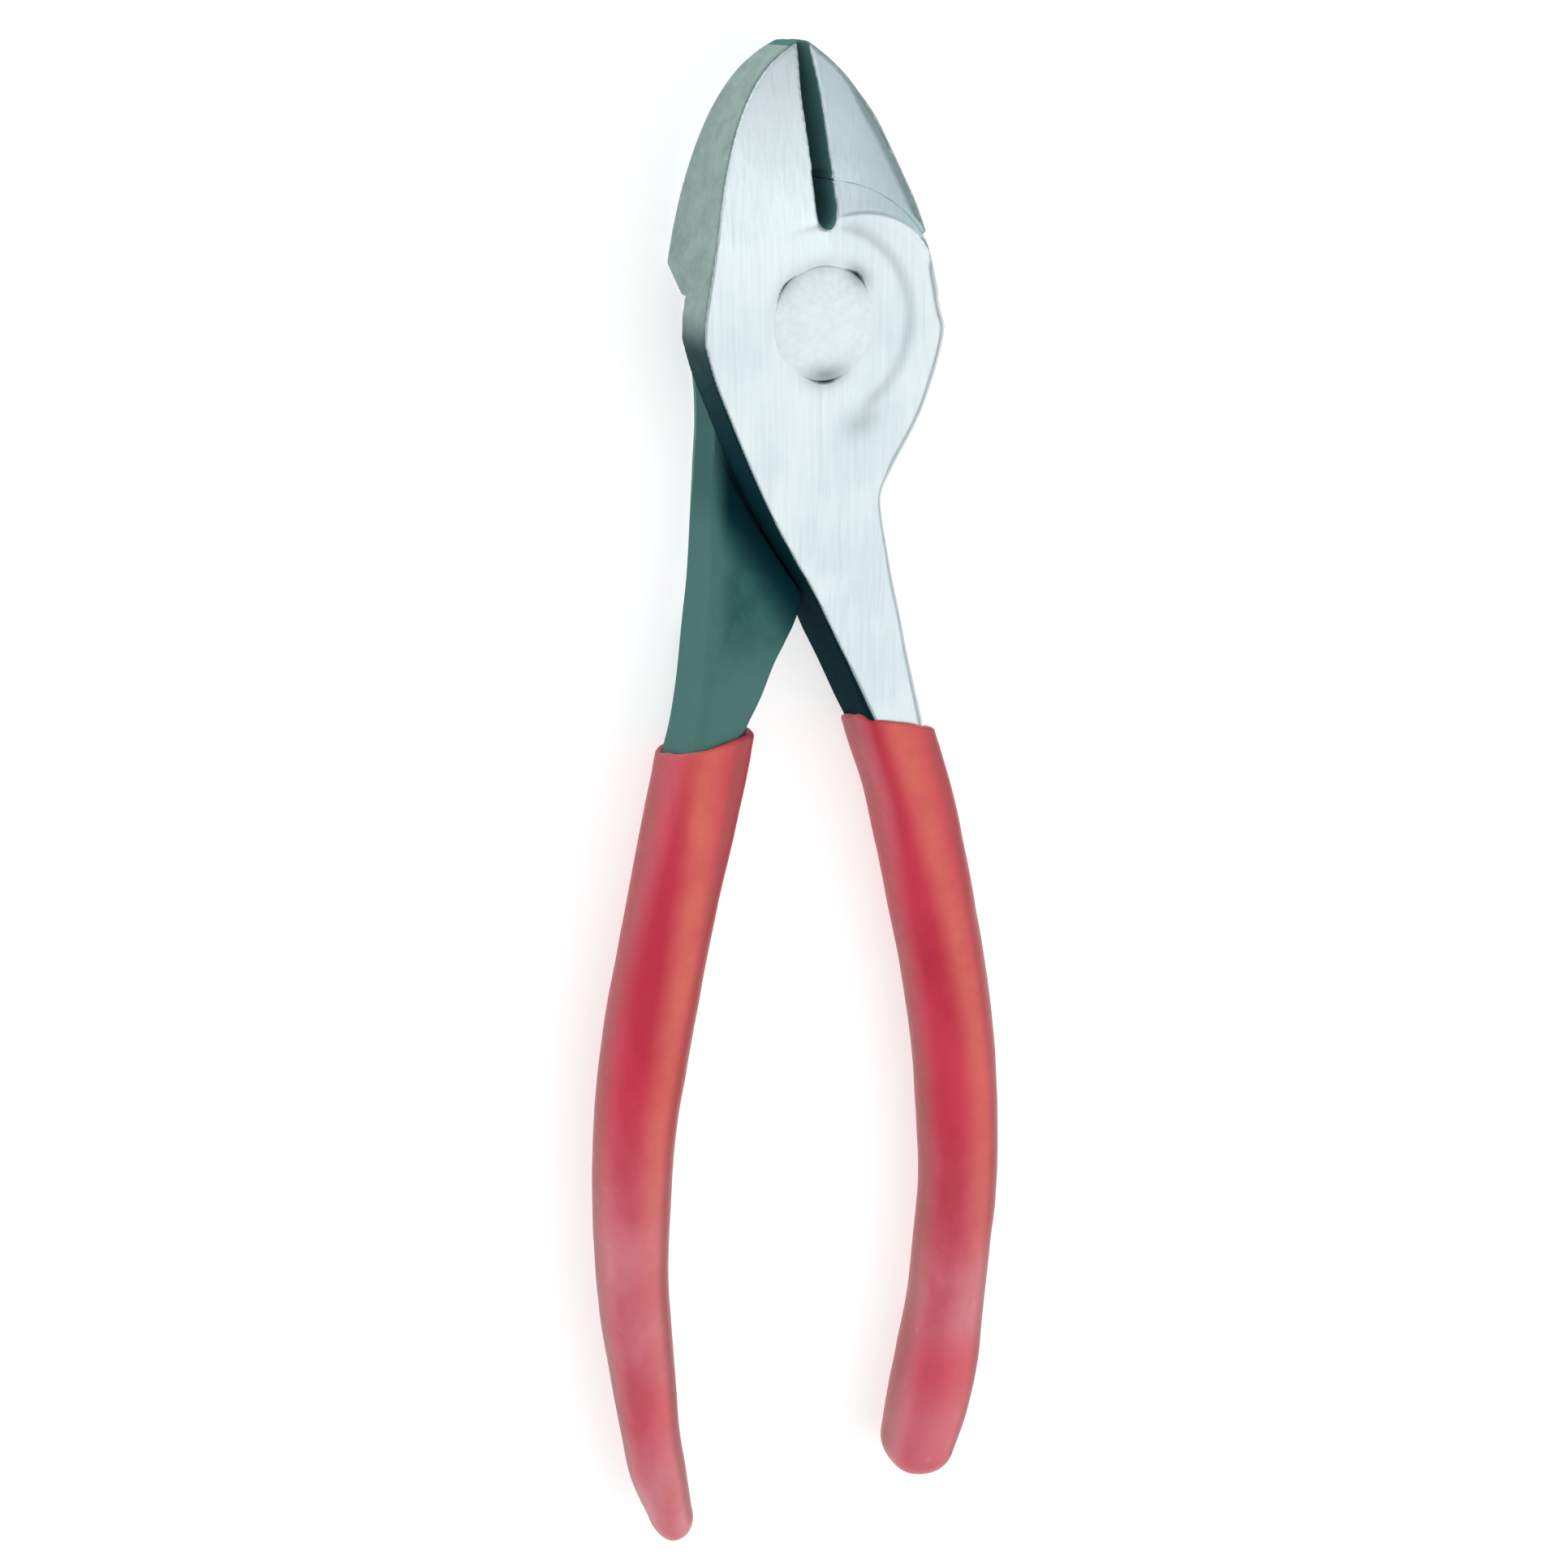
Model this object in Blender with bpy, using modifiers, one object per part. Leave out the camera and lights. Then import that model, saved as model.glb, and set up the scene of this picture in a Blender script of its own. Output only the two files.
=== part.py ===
"""Diagonal cutting pliers, nominal 180 mm (7 in) class, lap joint, dipped grips.

The tool lies flat with its front face up: +Z is the pivot axis pointing out of
the front face, +Y runs to the cutting tip, +X is to the right. The origin is on
the pivot axis, at the rear face of the joint. Jaws are closed.

Five pieces: two forged levers that cross at a lap joint, the rivet that they
turn on, and a dipped vinyl grip on each handle. The front lever is the left jaw
and the right handle, the back lever the right jaw and the left handle.
"""

import math

import bmesh
import bpy
from mathutils import Vector

# ---------------------------------------------------------------- dimensions, mm
HALF = 6.0              # half the thickness of the joint
LAP_GAP = 0.15          # each lever stops this far from the lap plane
CLEAR = 0.3             # side clearance between the two levers
TIP_Y = 28.2            # pivot axis to cutting tip
TIP_HALF = 2.6          # half thickness at the tip
TAPER_Y = 9.0           # the jaws are full thickness below this
EDGE_GAP = 0.15         # cutting edge to cutting line
EDGE_LAND = 0.45        # half height of the cutting land
GROOVE = 1.15           # half width of the V between the cutting bevels
SLOT_TOP, SLOT_LOW = 15.4, 9.5   # relief slot behind the cutting edges
SLOT_HALF = 1.3
BORE_R = 3.7            # pivot hole
RIVET_R = 3.6
HEAD_R = 6.1            # rivet heads
SINK_R = 6.4            # countersunk seat of the heads
SINK_DEPTH = 1.1
DOME = 0.75             # the front head stands this far proud
EAR_R = 14.4            # the front lever's round ear
SHOULDER_R = 14.6       # the right jaw's shoulder, which slides round the ear
REAR_DISC_R = 10.9      # half-thickness disc of the back lever
REAR_SHOULDER_R = 11.2
BACK_RAMP_Y, FRONT_RAMP_Y = -14.0, -17.0   # where the shanks start to thicken past the lap
SHANK_HALF = 4.7        # half thickness of the handles at the grips
RIM_Y = -46.0           # where the dipping starts
GRIP_FLATTEN = 1.12     # grip depth over grip width
GRIP_WALL = 1.1
TANG_GAP = 0.3
TANG_END = -141.0


def cutting_x(y):
    """The cutting line leans a little to the left towards the tip."""
    return 0.6 - 0.085 * (y - 9.4)


def polar(r, deg):
    return (r * math.cos(math.radians(deg)), r * math.sin(math.radians(deg)))


def arc(radius, start, end, steps):
    """Points from start to end degrees."""
    return [polar(radius, start + (end - start) * i / steps) for i in range(steps + 1)]


def smooth(points, steps=3):
    """A Catmull-Rom curve through the points."""
    ends = [points[0]] + list(points) + [points[-1]]
    found = []
    for a, b, c, d in zip(ends, ends[1:], ends[2:], ends[3:]):
        for i in range(steps):
            t = i / steps
            found.append(tuple(
                0.5 * (2 * q + (r - p) * t + (2 * p - 5 * q + 4 * r - s) * t * t
                       + (3 * q - p - 3 * r + s) * t ** 3)
                for p, q, r, s in zip(a, b, c, d)))
    found.append(tuple(points[-1]))
    return found


# ---------------------------------------------------------------- outlines, mm
# Outer edge of the left jaw, heel to tip.
LEFT_JAW = [(-13.0, 4.8), (-12.2, 8.8), (-11.5, 12.6), (-10.6, 16.1), (-9.4, 19.5),
            (-7.9, 22.5), (-5.9, 25.2), (-3.6, 27.1), (-1.6, TIP_Y)]
# Outer edge of the right jaw, tip to heel.
RIGHT_JAW = [(-0.4, TIP_Y), (1.2, 27.1), (3.2, 25.4), (5.3, 23.3), (7.3, 20.8),
             (8.9, 17.7), (10.3, 14.75), (11.75, 11.7)]
# Right-hand edge of the front lever below the ear, waist and shank.
FRONT_OUTER = [(15.25, -1.6), (14.65, -4.7), (13.7, -7.6), (12.5, -10.6), (10.75, -13.7),
               (8.7, -16.7), (7.4, -19.0), (7.6, -21.7), (8.5, -25.4), (9.45, -29.2),
               (10.5, -33.0), (11.4, -36.8), (12.4, -40.8), (13.4, -44.6)]
# Left-hand edge of the front lever, shank to joint.
FRONT_INNER = [(6.4, -44.0), (4.2, -39.2), (1.9, -34.6), (-0.8, -29.4),
               (-2.8, -25.5), (-5.2, -21.3), (-7.1, -17.7), (-9.0, -13.9), (-10.8, -9.9),
               (-12.7, -5.2), (-13.8, -1.4), (-13.7, 0.8)]
# Left-hand edge of the back lever, disc to shank.
BACK_OUTER = [(-10.7, -2.1), (-10.35, -5.0), (-10.2, -8.0), (-10.4, -11.6), (-10.7, -15.1),
              (-11.1, -20.5), (-11.8, -27.7), (-12.6, -33.2), (-13.4, -38.8), (-14.4, -44.2)]
# Right-hand edge of the back lever, shank to disc.
BACK_INNER = [(-8.5, -43.8), (-6.4, -40.3), (-4.5, -37.3), (-2.6, -34.9),
              (-0.9, -32.5), (1.6, -26.5), (4.0, -20.5), (6.3, -14.7), (8.3, -9.7),
              (9.9, -5.4)]
# Centreline of the right handle, as (x, y); the left one mirrors it.
HANDLE = [(10.2, -41.0), (11.9, -48.0), (13.7, -55.0), (15.6, -62.5), (17.4, -70.5),
          (19.35, -80.0), (20.95, -90.0), (21.85, -100.0), (22.1, -110.0), (21.65, -118.0),
          (20.85, -126.0), (19.9, -133.5), (19.0, -139.5), (17.9, -145.5)]
# Half widths of each grip at those points from the second on.
RIGHT_GRIP = [4.7, 4.8, 4.85, 4.85, 4.85, 4.8, 4.85, 4.8, 4.9, 5.1, 5.35, 5.4, 5.0]
LEFT_GRIP = [4.8, 4.85, 4.9, 4.9, 4.9, 4.75, 4.4, 4.2, 4.0, 3.7, 3.55, 3.4, 2.9]
RIGHT_END, LEFT_END = 4.6, 4.4   # length of the rounded end past the last point


# ---------------------------------------------------------------- helpers
def metres(x, y, z):
    """Design coordinates, mm from the middle of the joint, to the scene's."""
    return Vector((x, y, z + HALF)) * 0.001


def clear_scene():
    for obj in list(bpy.data.objects):
        bpy.data.objects.remove(obj, do_unlink=True)


def collection(name):
    made = bpy.data.collections.new(name)
    bpy.context.scene.collection.children.link(made)
    return made


def material(name, colour, roughness, metallic):
    made = bpy.data.materials.new(name)
    made.use_nodes = True
    shader = made.node_tree.nodes["Principled BSDF"]
    shader.inputs["Base Color"].default_value = (*colour, 1.0)
    shader.inputs["Roughness"].default_value = roughness
    shader.inputs["Metallic"].default_value = metallic
    made.diffuse_color = (*colour, 1.0)
    return made


def curve_to_mesh(curve_object, name, where):
    """A curve made a mesh with its caps welded, so that it can be cut."""
    graph = bpy.context.evaluated_depsgraph_get()
    mesh = bpy.data.meshes.new_from_object(curve_object.evaluated_get(graph))
    work = bmesh.new()
    work.from_mesh(mesh)
    bmesh.ops.remove_doubles(work, verts=work.verts, dist=1e-6)
    bmesh.ops.recalc_face_normals(work, faces=work.faces)
    work.to_mesh(mesh)
    work.free()
    made = bpy.data.objects.new(name, mesh)
    made.matrix_world = curve_object.matrix_world
    where.objects.link(made)
    data = curve_object.data
    bpy.data.objects.remove(curve_object)
    bpy.data.curves.remove(data)
    return made


def plate(name, outline, low, high, where):
    """A flat outline, extruded from z=low to z=high."""
    data = bpy.data.curves.new(name + "_outline", "CURVE")
    data.dimensions = "2D"
    data.fill_mode = "BOTH"
    data.extrude = (high - low) / 2 * 0.001
    spline = data.splines.new("POLY")
    spline.points.add(len(outline) - 1)
    for point, (x, y) in zip(spline.points, outline):
        point.co = (x * 0.001, y * 0.001, 0.0, 1.0)
    spline.use_cyclic_u = True
    guide = bpy.data.objects.new(name + "_outline", data)
    guide.location = metres(0, 0, (high + low) / 2)
    where.objects.link(guide)
    bpy.context.view_layer.update()
    return curve_to_mesh(guide, name, where)


def tube(name, points, radii, flatten, resolution, where):
    """A round bar along the points, deeper than it is wide by flatten."""
    data = bpy.data.curves.new(name + "_guide", "CURVE")
    data.dimensions = "3D"
    data.bevel_depth = 0.001
    data.bevel_resolution = resolution
    data.use_fill_caps = True
    spline = data.splines.new("POLY")
    spline.points.add(len(points) - 1)
    for point, (x, y), r in zip(spline.points, points, radii):
        point.co = (x * 0.001, y * 0.001, 0.0, 1.0)
        point.radius = r
    guide = bpy.data.objects.new(name + "_guide", data)
    guide.location = metres(0, 0, 0)
    guide.scale = (1.0, 1.0, flatten)
    where.objects.link(guide)
    bpy.context.view_layer.update()
    made = curve_to_mesh(guide, name, where)
    for vertex in made.data.vertices:       # the scale goes into the mesh
        vertex.co.z *= flatten
    made.scale = (1.0, 1.0, 1.0)
    return made


def hull(name, corners, where):
    """The convex solid around the corners."""
    work = bmesh.new()
    for corner in corners:
        work.verts.new(metres(*corner))
    bmesh.ops.convex_hull(work, input=work.verts)
    bmesh.ops.recalc_face_normals(work, faces=work.faces)
    mesh = bpy.data.meshes.new(name)
    work.to_mesh(mesh)
    work.free()
    made = bpy.data.objects.new(name, mesh)
    where.objects.link(made)
    return made


def cylinder(name, radius, low, high, where, sides=48):
    bpy.ops.mesh.primitive_cylinder_add(
        vertices=sides, radius=radius * 0.001, depth=(high - low) * 0.001,
        location=metres(0, 0, (low + high) / 2))
    made = bpy.context.object
    made.name = name
    for used in list(made.users_collection):
        used.objects.unlink(made)
    where.objects.link(made)
    return made


def helper(obj):
    obj.hide_render = True
    obj.display_type = "WIRE"
    return obj


def boolean(obj, other, operation):
    helper(other)
    step = obj.modifiers.new(other.name, "BOOLEAN")
    step.operation = operation
    step.solver = "EXACT"
    step.object = other


def finish(obj, name, look):
    obj.name = name
    obj.data.name = name
    obj.data.materials.clear()
    obj.data.materials.append(look)
    obj.data.shade_smooth()
    obj.data.set_sharp_from_angle(angle=math.radians(30))


# ---------------------------------------------------------------- the pieces
def slot_side(sign, low, high):
    """One side of the relief slot, from low to high."""
    return [(cutting_x(low) + sign * SLOT_HALF, low), (cutting_x(high) + sign * SLOT_HALF, high)]


def front_lever(parts, cutters, look):
    x = cutting_x(SLOT_LOW + SLOT_HALF)
    slot_bottom = [(x + SLOT_HALF * math.cos(math.radians(a)),
                    SLOT_LOW + SLOT_HALF + SLOT_HALF * math.sin(math.radians(a)))
                   for a in range(180, 361, 30)]
    outline = (
        smooth([(-13.7, 0.8)] + LEFT_JAW, 2)
        + [(cutting_x(TIP_Y) - EDGE_GAP, TIP_Y)]
        + [(cutting_x(SLOT_TOP) - EDGE_GAP, SLOT_TOP)]
        + [(cutting_x(SLOT_TOP) - SLOT_HALF, SLOT_TOP)]
        + slot_bottom
        + arc(EAR_R, 84.0, 8.0, 16)
        + smooth([(14.7, 0.4)] + FRONT_OUTER, 2)
        + smooth(FRONT_INNER[:-1], 2)
    )
    lever = plate("front_lever", outline, -HALF, HALF, parts)

    # the lap: everything behind the lap plane that the back lever turns in
    pocket = (
        arc(REAR_SHOULDER_R, 88.0, 170.0, 14)
        + [(-13.0, 6.1), (-20.0, 8.0), (-20.0, -50.0), (-9.0 + CLEAR, -50.0)]
        + [(px + CLEAR + 0.1, py) for px, py in BACK_INNER[:-1]]
        + [(20.0, -5.0), (20.0, 20.0), (cutting_x(14.0), 20.0)]
    )
    boolean(lever, plate("front_lever_lap", pocket, -HALF - 1, LAP_GAP, cutters), "DIFFERENCE")
    ramps(lever, "front", cutters, rear_from=FRONT_RAMP_Y, front_from=None)
    jaw_cuts(lever, "front", -1, cutters)
    tang(lever, "right", 1, cutters)
    boolean(lever, cylinder("front_bore", BORE_R, -HALF - 1, HALF + 1, cutters), "DIFFERENCE")
    boolean(lever, cylinder("front_sink", SINK_R, HALF - SINK_DEPTH, HALF + 1, cutters), "DIFFERENCE")
    finish(lever, "front_lever", look)
    return lever


def back_lever(parts, cutters, look):
    x = cutting_x(SLOT_LOW + SLOT_HALF)
    slot_bottom = [(x + SLOT_HALF * math.cos(math.radians(a)),
                    SLOT_LOW + SLOT_HALF + SLOT_HALF * math.sin(math.radians(a)))
                   for a in range(0, -181, -30)]
    outline = (
        [(cutting_x(SLOT_TOP) + SLOT_HALF, SLOT_TOP), (cutting_x(SLOT_TOP) + EDGE_GAP, SLOT_TOP)]
        + [(cutting_x(TIP_Y) + EDGE_GAP, TIP_Y)]
        + smooth(RIGHT_JAW + [(12.65, 8.75)], 2)
        + [polar(11.6, 33.0)]
        + arc(REAR_DISC_R, 29.0, -20.0, 7)
        + smooth(BACK_INNER[::-1], 2)
        + smooth(BACK_OUTER[::-1], 2)
        + arc(REAR_DISC_R, -172.0, -260.0, 14)
        + slot_bottom[::-1]
    )
    lever = plate("back_lever", outline, -HALF, HALF, parts)

    # the lap: everything in front of the lap plane that the front lever lies in
    left_wall = [(px - CLEAR - 0.1, py) for px, py in FRONT_INNER if py < BACK_RAMP_Y]
    pocket = (
        arc(SHOULDER_R, 33.0, 92.0, 16)
        + [(-6.0, 18.0), (-20.0, 18.0), (-20.0, BACK_RAMP_Y - 0.2), (-9.5, BACK_RAMP_Y - 0.2)]
        + left_wall[::-1]
        + [(7.0, -50.0), (25.0, -50.0), (25.0, 7.0), (16.0, 8.9)]
    )
    boolean(lever, plate("back_lever_lap", pocket, -LAP_GAP, HALF + 1, cutters), "DIFFERENCE")
    ramps(lever, "back", cutters, rear_from=None, front_from=BACK_RAMP_Y)
    jaw_cuts(lever, "back", 1, cutters)
    tang(lever, "left", -1, cutters)
    boolean(lever, cylinder("back_bore", BORE_R, -HALF - 1, HALF + 1, cutters), "DIFFERENCE")
    boolean(lever, cylinder("back_sink", SINK_R, -HALF - 1, -HALF + SINK_DEPTH, cutters), "DIFFERENCE")
    finish(lever, "back_lever", look)
    return lever


def ramps(lever, name, cutters, rear_from, front_from):
    """The shank eases from half the joint's thickness to the handle's depth."""
    for sign, start in ((-1, rear_from), (1, front_from)):
        first = -15.0 if start is None else start
        height = HALF if start is None else LAP_GAP * -sign
        corners = []
        for y, z in ((first, height), (-42.0, SHANK_HALF), (-60.0, SHANK_HALF)):
            for x in (-40.0, 40.0):
                corners += [(x, y, sign * z if start is None else (height if y == first else sign * z)),
                            (x, y, sign * (HALF + 2))]
        side = "rear" if sign < 0 else "face"
        boolean(lever, hull(f"{name}_{side}_ramp", corners, cutters), "DIFFERENCE")


def jaw_cuts(lever, name, side, cutters):
    """Both faces of the jaw taper to the tip, and bevels lead to the cutting edge."""
    for sign in (-1, 1):
        corners = []
        for y, z in ((TAPER_Y, HALF), (TIP_Y, TIP_HALF), (TIP_Y + 6, TIP_HALF - 1.0)):
            for x in (-20.0, 20.0):
                corners += [(x, y, sign * z), (x, y, sign * (HALF + 2))]
        tag = "face" if sign > 0 else "rear"
        boolean(lever, hull(f"{name}_{tag}_taper", corners, cutters), "DIFFERENCE")
        corners = []
        for y in (SLOT_TOP - 0.6, TIP_Y + 2):
            face = HALF - (HALF - TIP_HALF) * (y - TAPER_Y) / (TIP_Y - TAPER_Y)
            run = (GROOVE - EDGE_GAP) * (face + 1.0 - EDGE_LAND) / (face - EDGE_LAND)
            x = cutting_x(y)
            corners += [(x + side * EDGE_GAP, y, sign * EDGE_LAND),
                        (x + side * (EDGE_GAP + run), y, sign * (face + 1.0)),
                        (x - side * 1.0, y, sign * (face + 1.0)),
                        (x - side * 1.0, y, sign * EDGE_LAND)]
        boolean(lever, hull(f"{name}_{tag}_bevel", corners, cutters), "DIFFERENCE")


def handle_points(side):
    return [(side * x, y) for x, y in HANDLE]


def tang(lever, name, side, cutters):
    """The bare handle inside the grip."""
    points, radii = [], []
    widths = RIGHT_GRIP if side > 0 else LEFT_GRIP
    for i, (x, y) in enumerate(handle_points(side)):
        if y < TANG_END:
            break
        width = widths[max(i - 1, 0)] - GRIP_WALL - TANG_GAP
        points.append((x, y))
        radii.append(min(width, 3.45 + 0.012 * (y + 48.0)))
    radii[0] = 2.9
    last = radii[-1]
    (x0, y0), (x1, y1) = points[-2:]
    step = math.hypot(x1 - x0, y1 - y0)
    for along, shrink in ((0.55, 0.85), (0.9, 0.5)):
        points.append((x1 + (x1 - x0) / step * last * along, y1 + (y1 - y0) / step * last * along))
        radii.append(last * shrink)
    boolean(lever, tube(f"{name}_tang", points, radii, GRIP_FLATTEN, 2, cutters), "UNION")


def grip(name, side, widths, end, parts, cutters, look):
    """A sock of dipped vinyl: open at the rim, closed and rounded at its end."""
    points = handle_points(side)
    (x0, y0), (x1, y1) = points[-2:]
    step = math.hypot(x1 - x0, y1 - y0)
    ax, ay = (x1 - x0) / step, (y1 - y0) / step
    last = widths[-1]
    outer, radii = list(points), [widths[0]] + list(widths)
    for deg in (25, 45, 62, 76, 86):
        a = math.radians(deg)
        outer.append((x1 + ax * end * math.sin(a), y1 + ay * end * math.sin(a)))
        radii.append(last * math.cos(a))
    body = tube(name, outer, radii, GRIP_FLATTEN, 3, parts)

    inner, hollow = [], []
    for i, (x, y) in enumerate(points):
        if y < TANG_END:
            break
        width = widths[max(i - 1, 0)] - GRIP_WALL
        inner.append((x, y))
        hollow.append(min(width, 3.45 + 0.012 * (y + 48.0) + TANG_GAP))
    hollow[0] = 3.75
    (x0, y0), (x1, y1) = inner[-2:]
    step = math.hypot(x1 - x0, y1 - y0)
    ax, ay = (x1 - x0) / step, (y1 - y0) / step
    last = hollow[-1]
    for along, shrink in ((0.55, 0.88), (1.0, 0.6)):
        inner.append((x1 + ax * last * along, y1 + ay * last * along))
        hollow.append(last * shrink)
    # the hollow starts well above the rim
    ux, uy = inner[0][0] - inner[1][0], inner[0][1] - inner[1][1]
    inner[0] = (inner[1][0] + 2 * ux, inner[1][1] + 2 * uy)
    hollow[0] = hollow[1]
    boolean(body, tube(f"{name}_hollow", inner, hollow, GRIP_FLATTEN, 2, cutters), "DIFFERENCE")

    # the rim slopes up towards the inside of the handle
    corners = []
    for x in (0.0, 30.0):
        for z in (-12.0, 12.0):
            corners += [(side * x, RIM_Y + 0.22 * (12.0 - x), z), (side * x, RIM_Y + 25.0, z)]
    boolean(body, hull(f"{name}_rim", corners, cutters), "DIFFERENCE")
    finish(body, name, look)
    return body


def rivet(parts, look):
    """Turned profile, outer side from the top down: domed head, shank, flush rear head."""
    top, head, floor = HALF + 0.1, HEAD_R, HALF - SINK_DEPTH + 0.25
    rise = DOME - 0.1
    profile = [(0.0, HALF + DOME)]
    for i in range(1, 7):
        r = head * i / 6.0
        profile.append((r, top + rise * (1.0 - (r / head) ** 2)))
    profile += [(head, floor), (RIVET_R, floor), (RIVET_R, -floor), (head, -floor),
                (head, -HALF), (0.0, -HALF)]
    mesh = bpy.data.meshes.new("pivot_rivet")
    mesh.from_pydata([(r * 0.001, 0.0, z * 0.001) for r, z in profile],
                     [(i, i + 1) for i in range(len(profile) - 1)], [])
    body = bpy.data.objects.new("pivot_rivet", mesh)
    body.location = metres(0, 0, 0)
    parts.objects.link(body)
    turn = body.modifiers.new("turn", "SCREW")
    turn.axis = "Z"
    turn.angle = math.radians(360.0)
    turn.steps = turn.render_steps = 48
    turn.use_merge_vertices = True
    turn.merge_threshold = 0.00001
    turn.use_smooth_shade = True
    body.data.materials.append(look)
    return body


def main():
    clear_scene()
    parts = collection("diagonal_cutting_pliers")
    cutters = collection("cutters")
    polished = material("polished_steel", (0.78, 0.82, 0.83), 0.32, 1.0)
    forged = material("forged_steel", (0.20, 0.27, 0.27), 0.45, 1.0)
    bright = material("rivet_steel", (0.80, 0.83, 0.83), 0.30, 1.0)
    vinyl = material("red_vinyl", (0.62, 0.035, 0.05), 0.38, 0.0)

    front = front_lever(parts, cutters, polished)
    back = back_lever(parts, cutters, forged)
    pin = rivet(parts, bright)
    right = grip("right_grip", 1, RIGHT_GRIP, RIGHT_END, parts, cutters, vinyl)
    left = grip("left_grip", -1, LEFT_GRIP, LEFT_END, parts, cutters, vinyl)

    # the back lever and its grip turn about the rivet's axis
    hinge = bpy.data.objects.new("jaw_pivot", None)
    hinge.location = metres(0, 0, 0)
    parts.objects.link(hinge)
    bpy.context.view_layer.update()
    for obj in (back, left):
        world = obj.matrix_world.copy()
        obj.parent = hinge
        obj.matrix_parent_inverse = hinge.matrix_world.inverted()
        obj.matrix_world = world
    for obj in (pin, right):
        world = obj.matrix_world.copy()
        obj.parent = front
        obj.matrix_parent_inverse = front.matrix_world.inverted()
        obj.matrix_world = world
    bpy.context.view_layer.update()


main()
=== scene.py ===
"""Diagonal cutting pliers: the visible surfaces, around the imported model.

Design coordinates are millimetres from the middle of the joint, as in the solids:
+Z out of the front face, +Y to the tip, +X to the right. The scene adds HALF to Z
and is in metres. Each lever is one smooth closed surface, taken from a field that
gives the distance to its skin, so every edge has the radius that grinding leaves.
"""

import math

import bpy
import numpy as np
import openvdb
from mathutils import Matrix, Vector

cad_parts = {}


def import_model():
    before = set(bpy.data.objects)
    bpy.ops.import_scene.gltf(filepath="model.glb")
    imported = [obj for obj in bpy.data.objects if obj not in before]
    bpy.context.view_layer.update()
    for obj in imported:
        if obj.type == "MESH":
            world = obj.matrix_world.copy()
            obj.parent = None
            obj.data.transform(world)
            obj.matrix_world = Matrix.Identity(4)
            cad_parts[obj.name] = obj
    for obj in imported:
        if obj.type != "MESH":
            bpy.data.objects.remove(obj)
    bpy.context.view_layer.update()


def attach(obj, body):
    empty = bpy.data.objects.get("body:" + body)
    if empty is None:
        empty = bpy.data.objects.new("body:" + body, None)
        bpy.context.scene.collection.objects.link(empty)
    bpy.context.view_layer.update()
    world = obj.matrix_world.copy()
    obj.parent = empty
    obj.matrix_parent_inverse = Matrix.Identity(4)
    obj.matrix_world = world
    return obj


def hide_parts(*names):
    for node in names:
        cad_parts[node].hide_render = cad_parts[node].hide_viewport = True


# ------------------------------------------------------------ dimensions, mm
HALF = 6.0
LAP_GAP = 0.15
CLEAR = 0.3
TIP_Y = 28.2
TIP_HALF = 2.6
TAPER_Y = 9.0
EDGE_GAP = 0.10
EDGE_LAND = 0.45
GROOVE = 1.0
SLOT_TOP, SLOT_LOW = 15.4, 9.7
SLOT_HALF, SLOT_END = 1.0, 2.2     # half width, and length of the drawn-out end
BORE_R = 3.7
RIVET_R = 3.6
HEAD_R = 6.1
SINK_R = 6.4
SINK_DEPTH = 1.1
DOME = 0.45
EAR_R, SHOULDER_R = 14.495, 14.505
REAR_DISC_R = 10.9
REAR_SHOULDER_R = 11.2
BACK_RAMP_Y, FRONT_RAMP_Y = -14.0, -17.0
SHANK_HALF = 4.7
RIM_Y = -46.0
RING_R = 10.2           # turned ring round the rivet on the front face
BREAK_X, BREAK_Y, BREAK_R = 4.4, 1.0, 9.9   # circle where the right jaw's face begins to slope
VOXEL = 0.2

LEFT_JAW = [(-13.0, 4.8), (-12.2, 8.8), (-11.5, 12.6), (-10.6, 16.1), (-9.4, 19.5),
            (-7.9, 22.5), (-5.9, 25.2), (-3.6, 27.1), (-1.6, TIP_Y)]
RIGHT_JAW = [(-0.4, TIP_Y), (1.2, 27.1), (3.2, 25.4), (5.3, 23.3), (7.3, 20.8),
             (8.9, 17.7), (10.3, 14.75), (11.75, 11.7)]
FRONT_OUTER = [(15.25, -1.6), (14.65, -4.7), (13.7, -7.6), (12.5, -10.6), (10.75, -13.7),
               (8.7, -16.7), (7.4, -19.0), (7.6, -21.7), (8.5, -25.4), (9.45, -29.2),
               (10.5, -33.0), (11.45, -36.8), (12.6, -40.8), (13.7, -44.6)]
FRONT_INNER = [(6.4, -44.0), (4.2, -39.2), (1.9, -34.6), (-0.8, -29.4),
               (-3.15, -25.5), (-5.55, -21.3), (-7.35, -17.7), (-9.1, -13.9), (-10.8, -9.9),
               (-12.7, -5.2), (-13.8, -1.4), (-13.7, 0.8)]
BACK_OUTER = [(-10.7, -2.1), (-10.3, -5.0), (-10.0, -8.0), (-9.95, -11.6), (-10.2, -15.1),
              (-10.7, -20.5), (-11.5, -27.7), (-12.35, -33.2), (-13.2, -38.8), (-14.3, -44.2)]
BACK_INNER = [(-8.05, -43.8), (-6.1, -40.3), (-4.55, -37.3), (-2.95, -34.9),
              (-1.4, -32.4), (1.3, -26.5), (4.0, -20.5), (6.3, -14.7), (8.3, -9.7),
              (9.9, -5.4)]
HANDLE = [(10.2, -41.0), (11.9, -48.0), (13.7, -55.0), (15.6, -62.5), (17.4, -70.5),
          (19.35, -80.0), (20.95, -90.0), (21.85, -100.0), (22.1, -110.0), (21.65, -118.0),
          (20.85, -126.0), (19.9, -133.5), (19.0, -139.5), (17.9, -145.5)]
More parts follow.
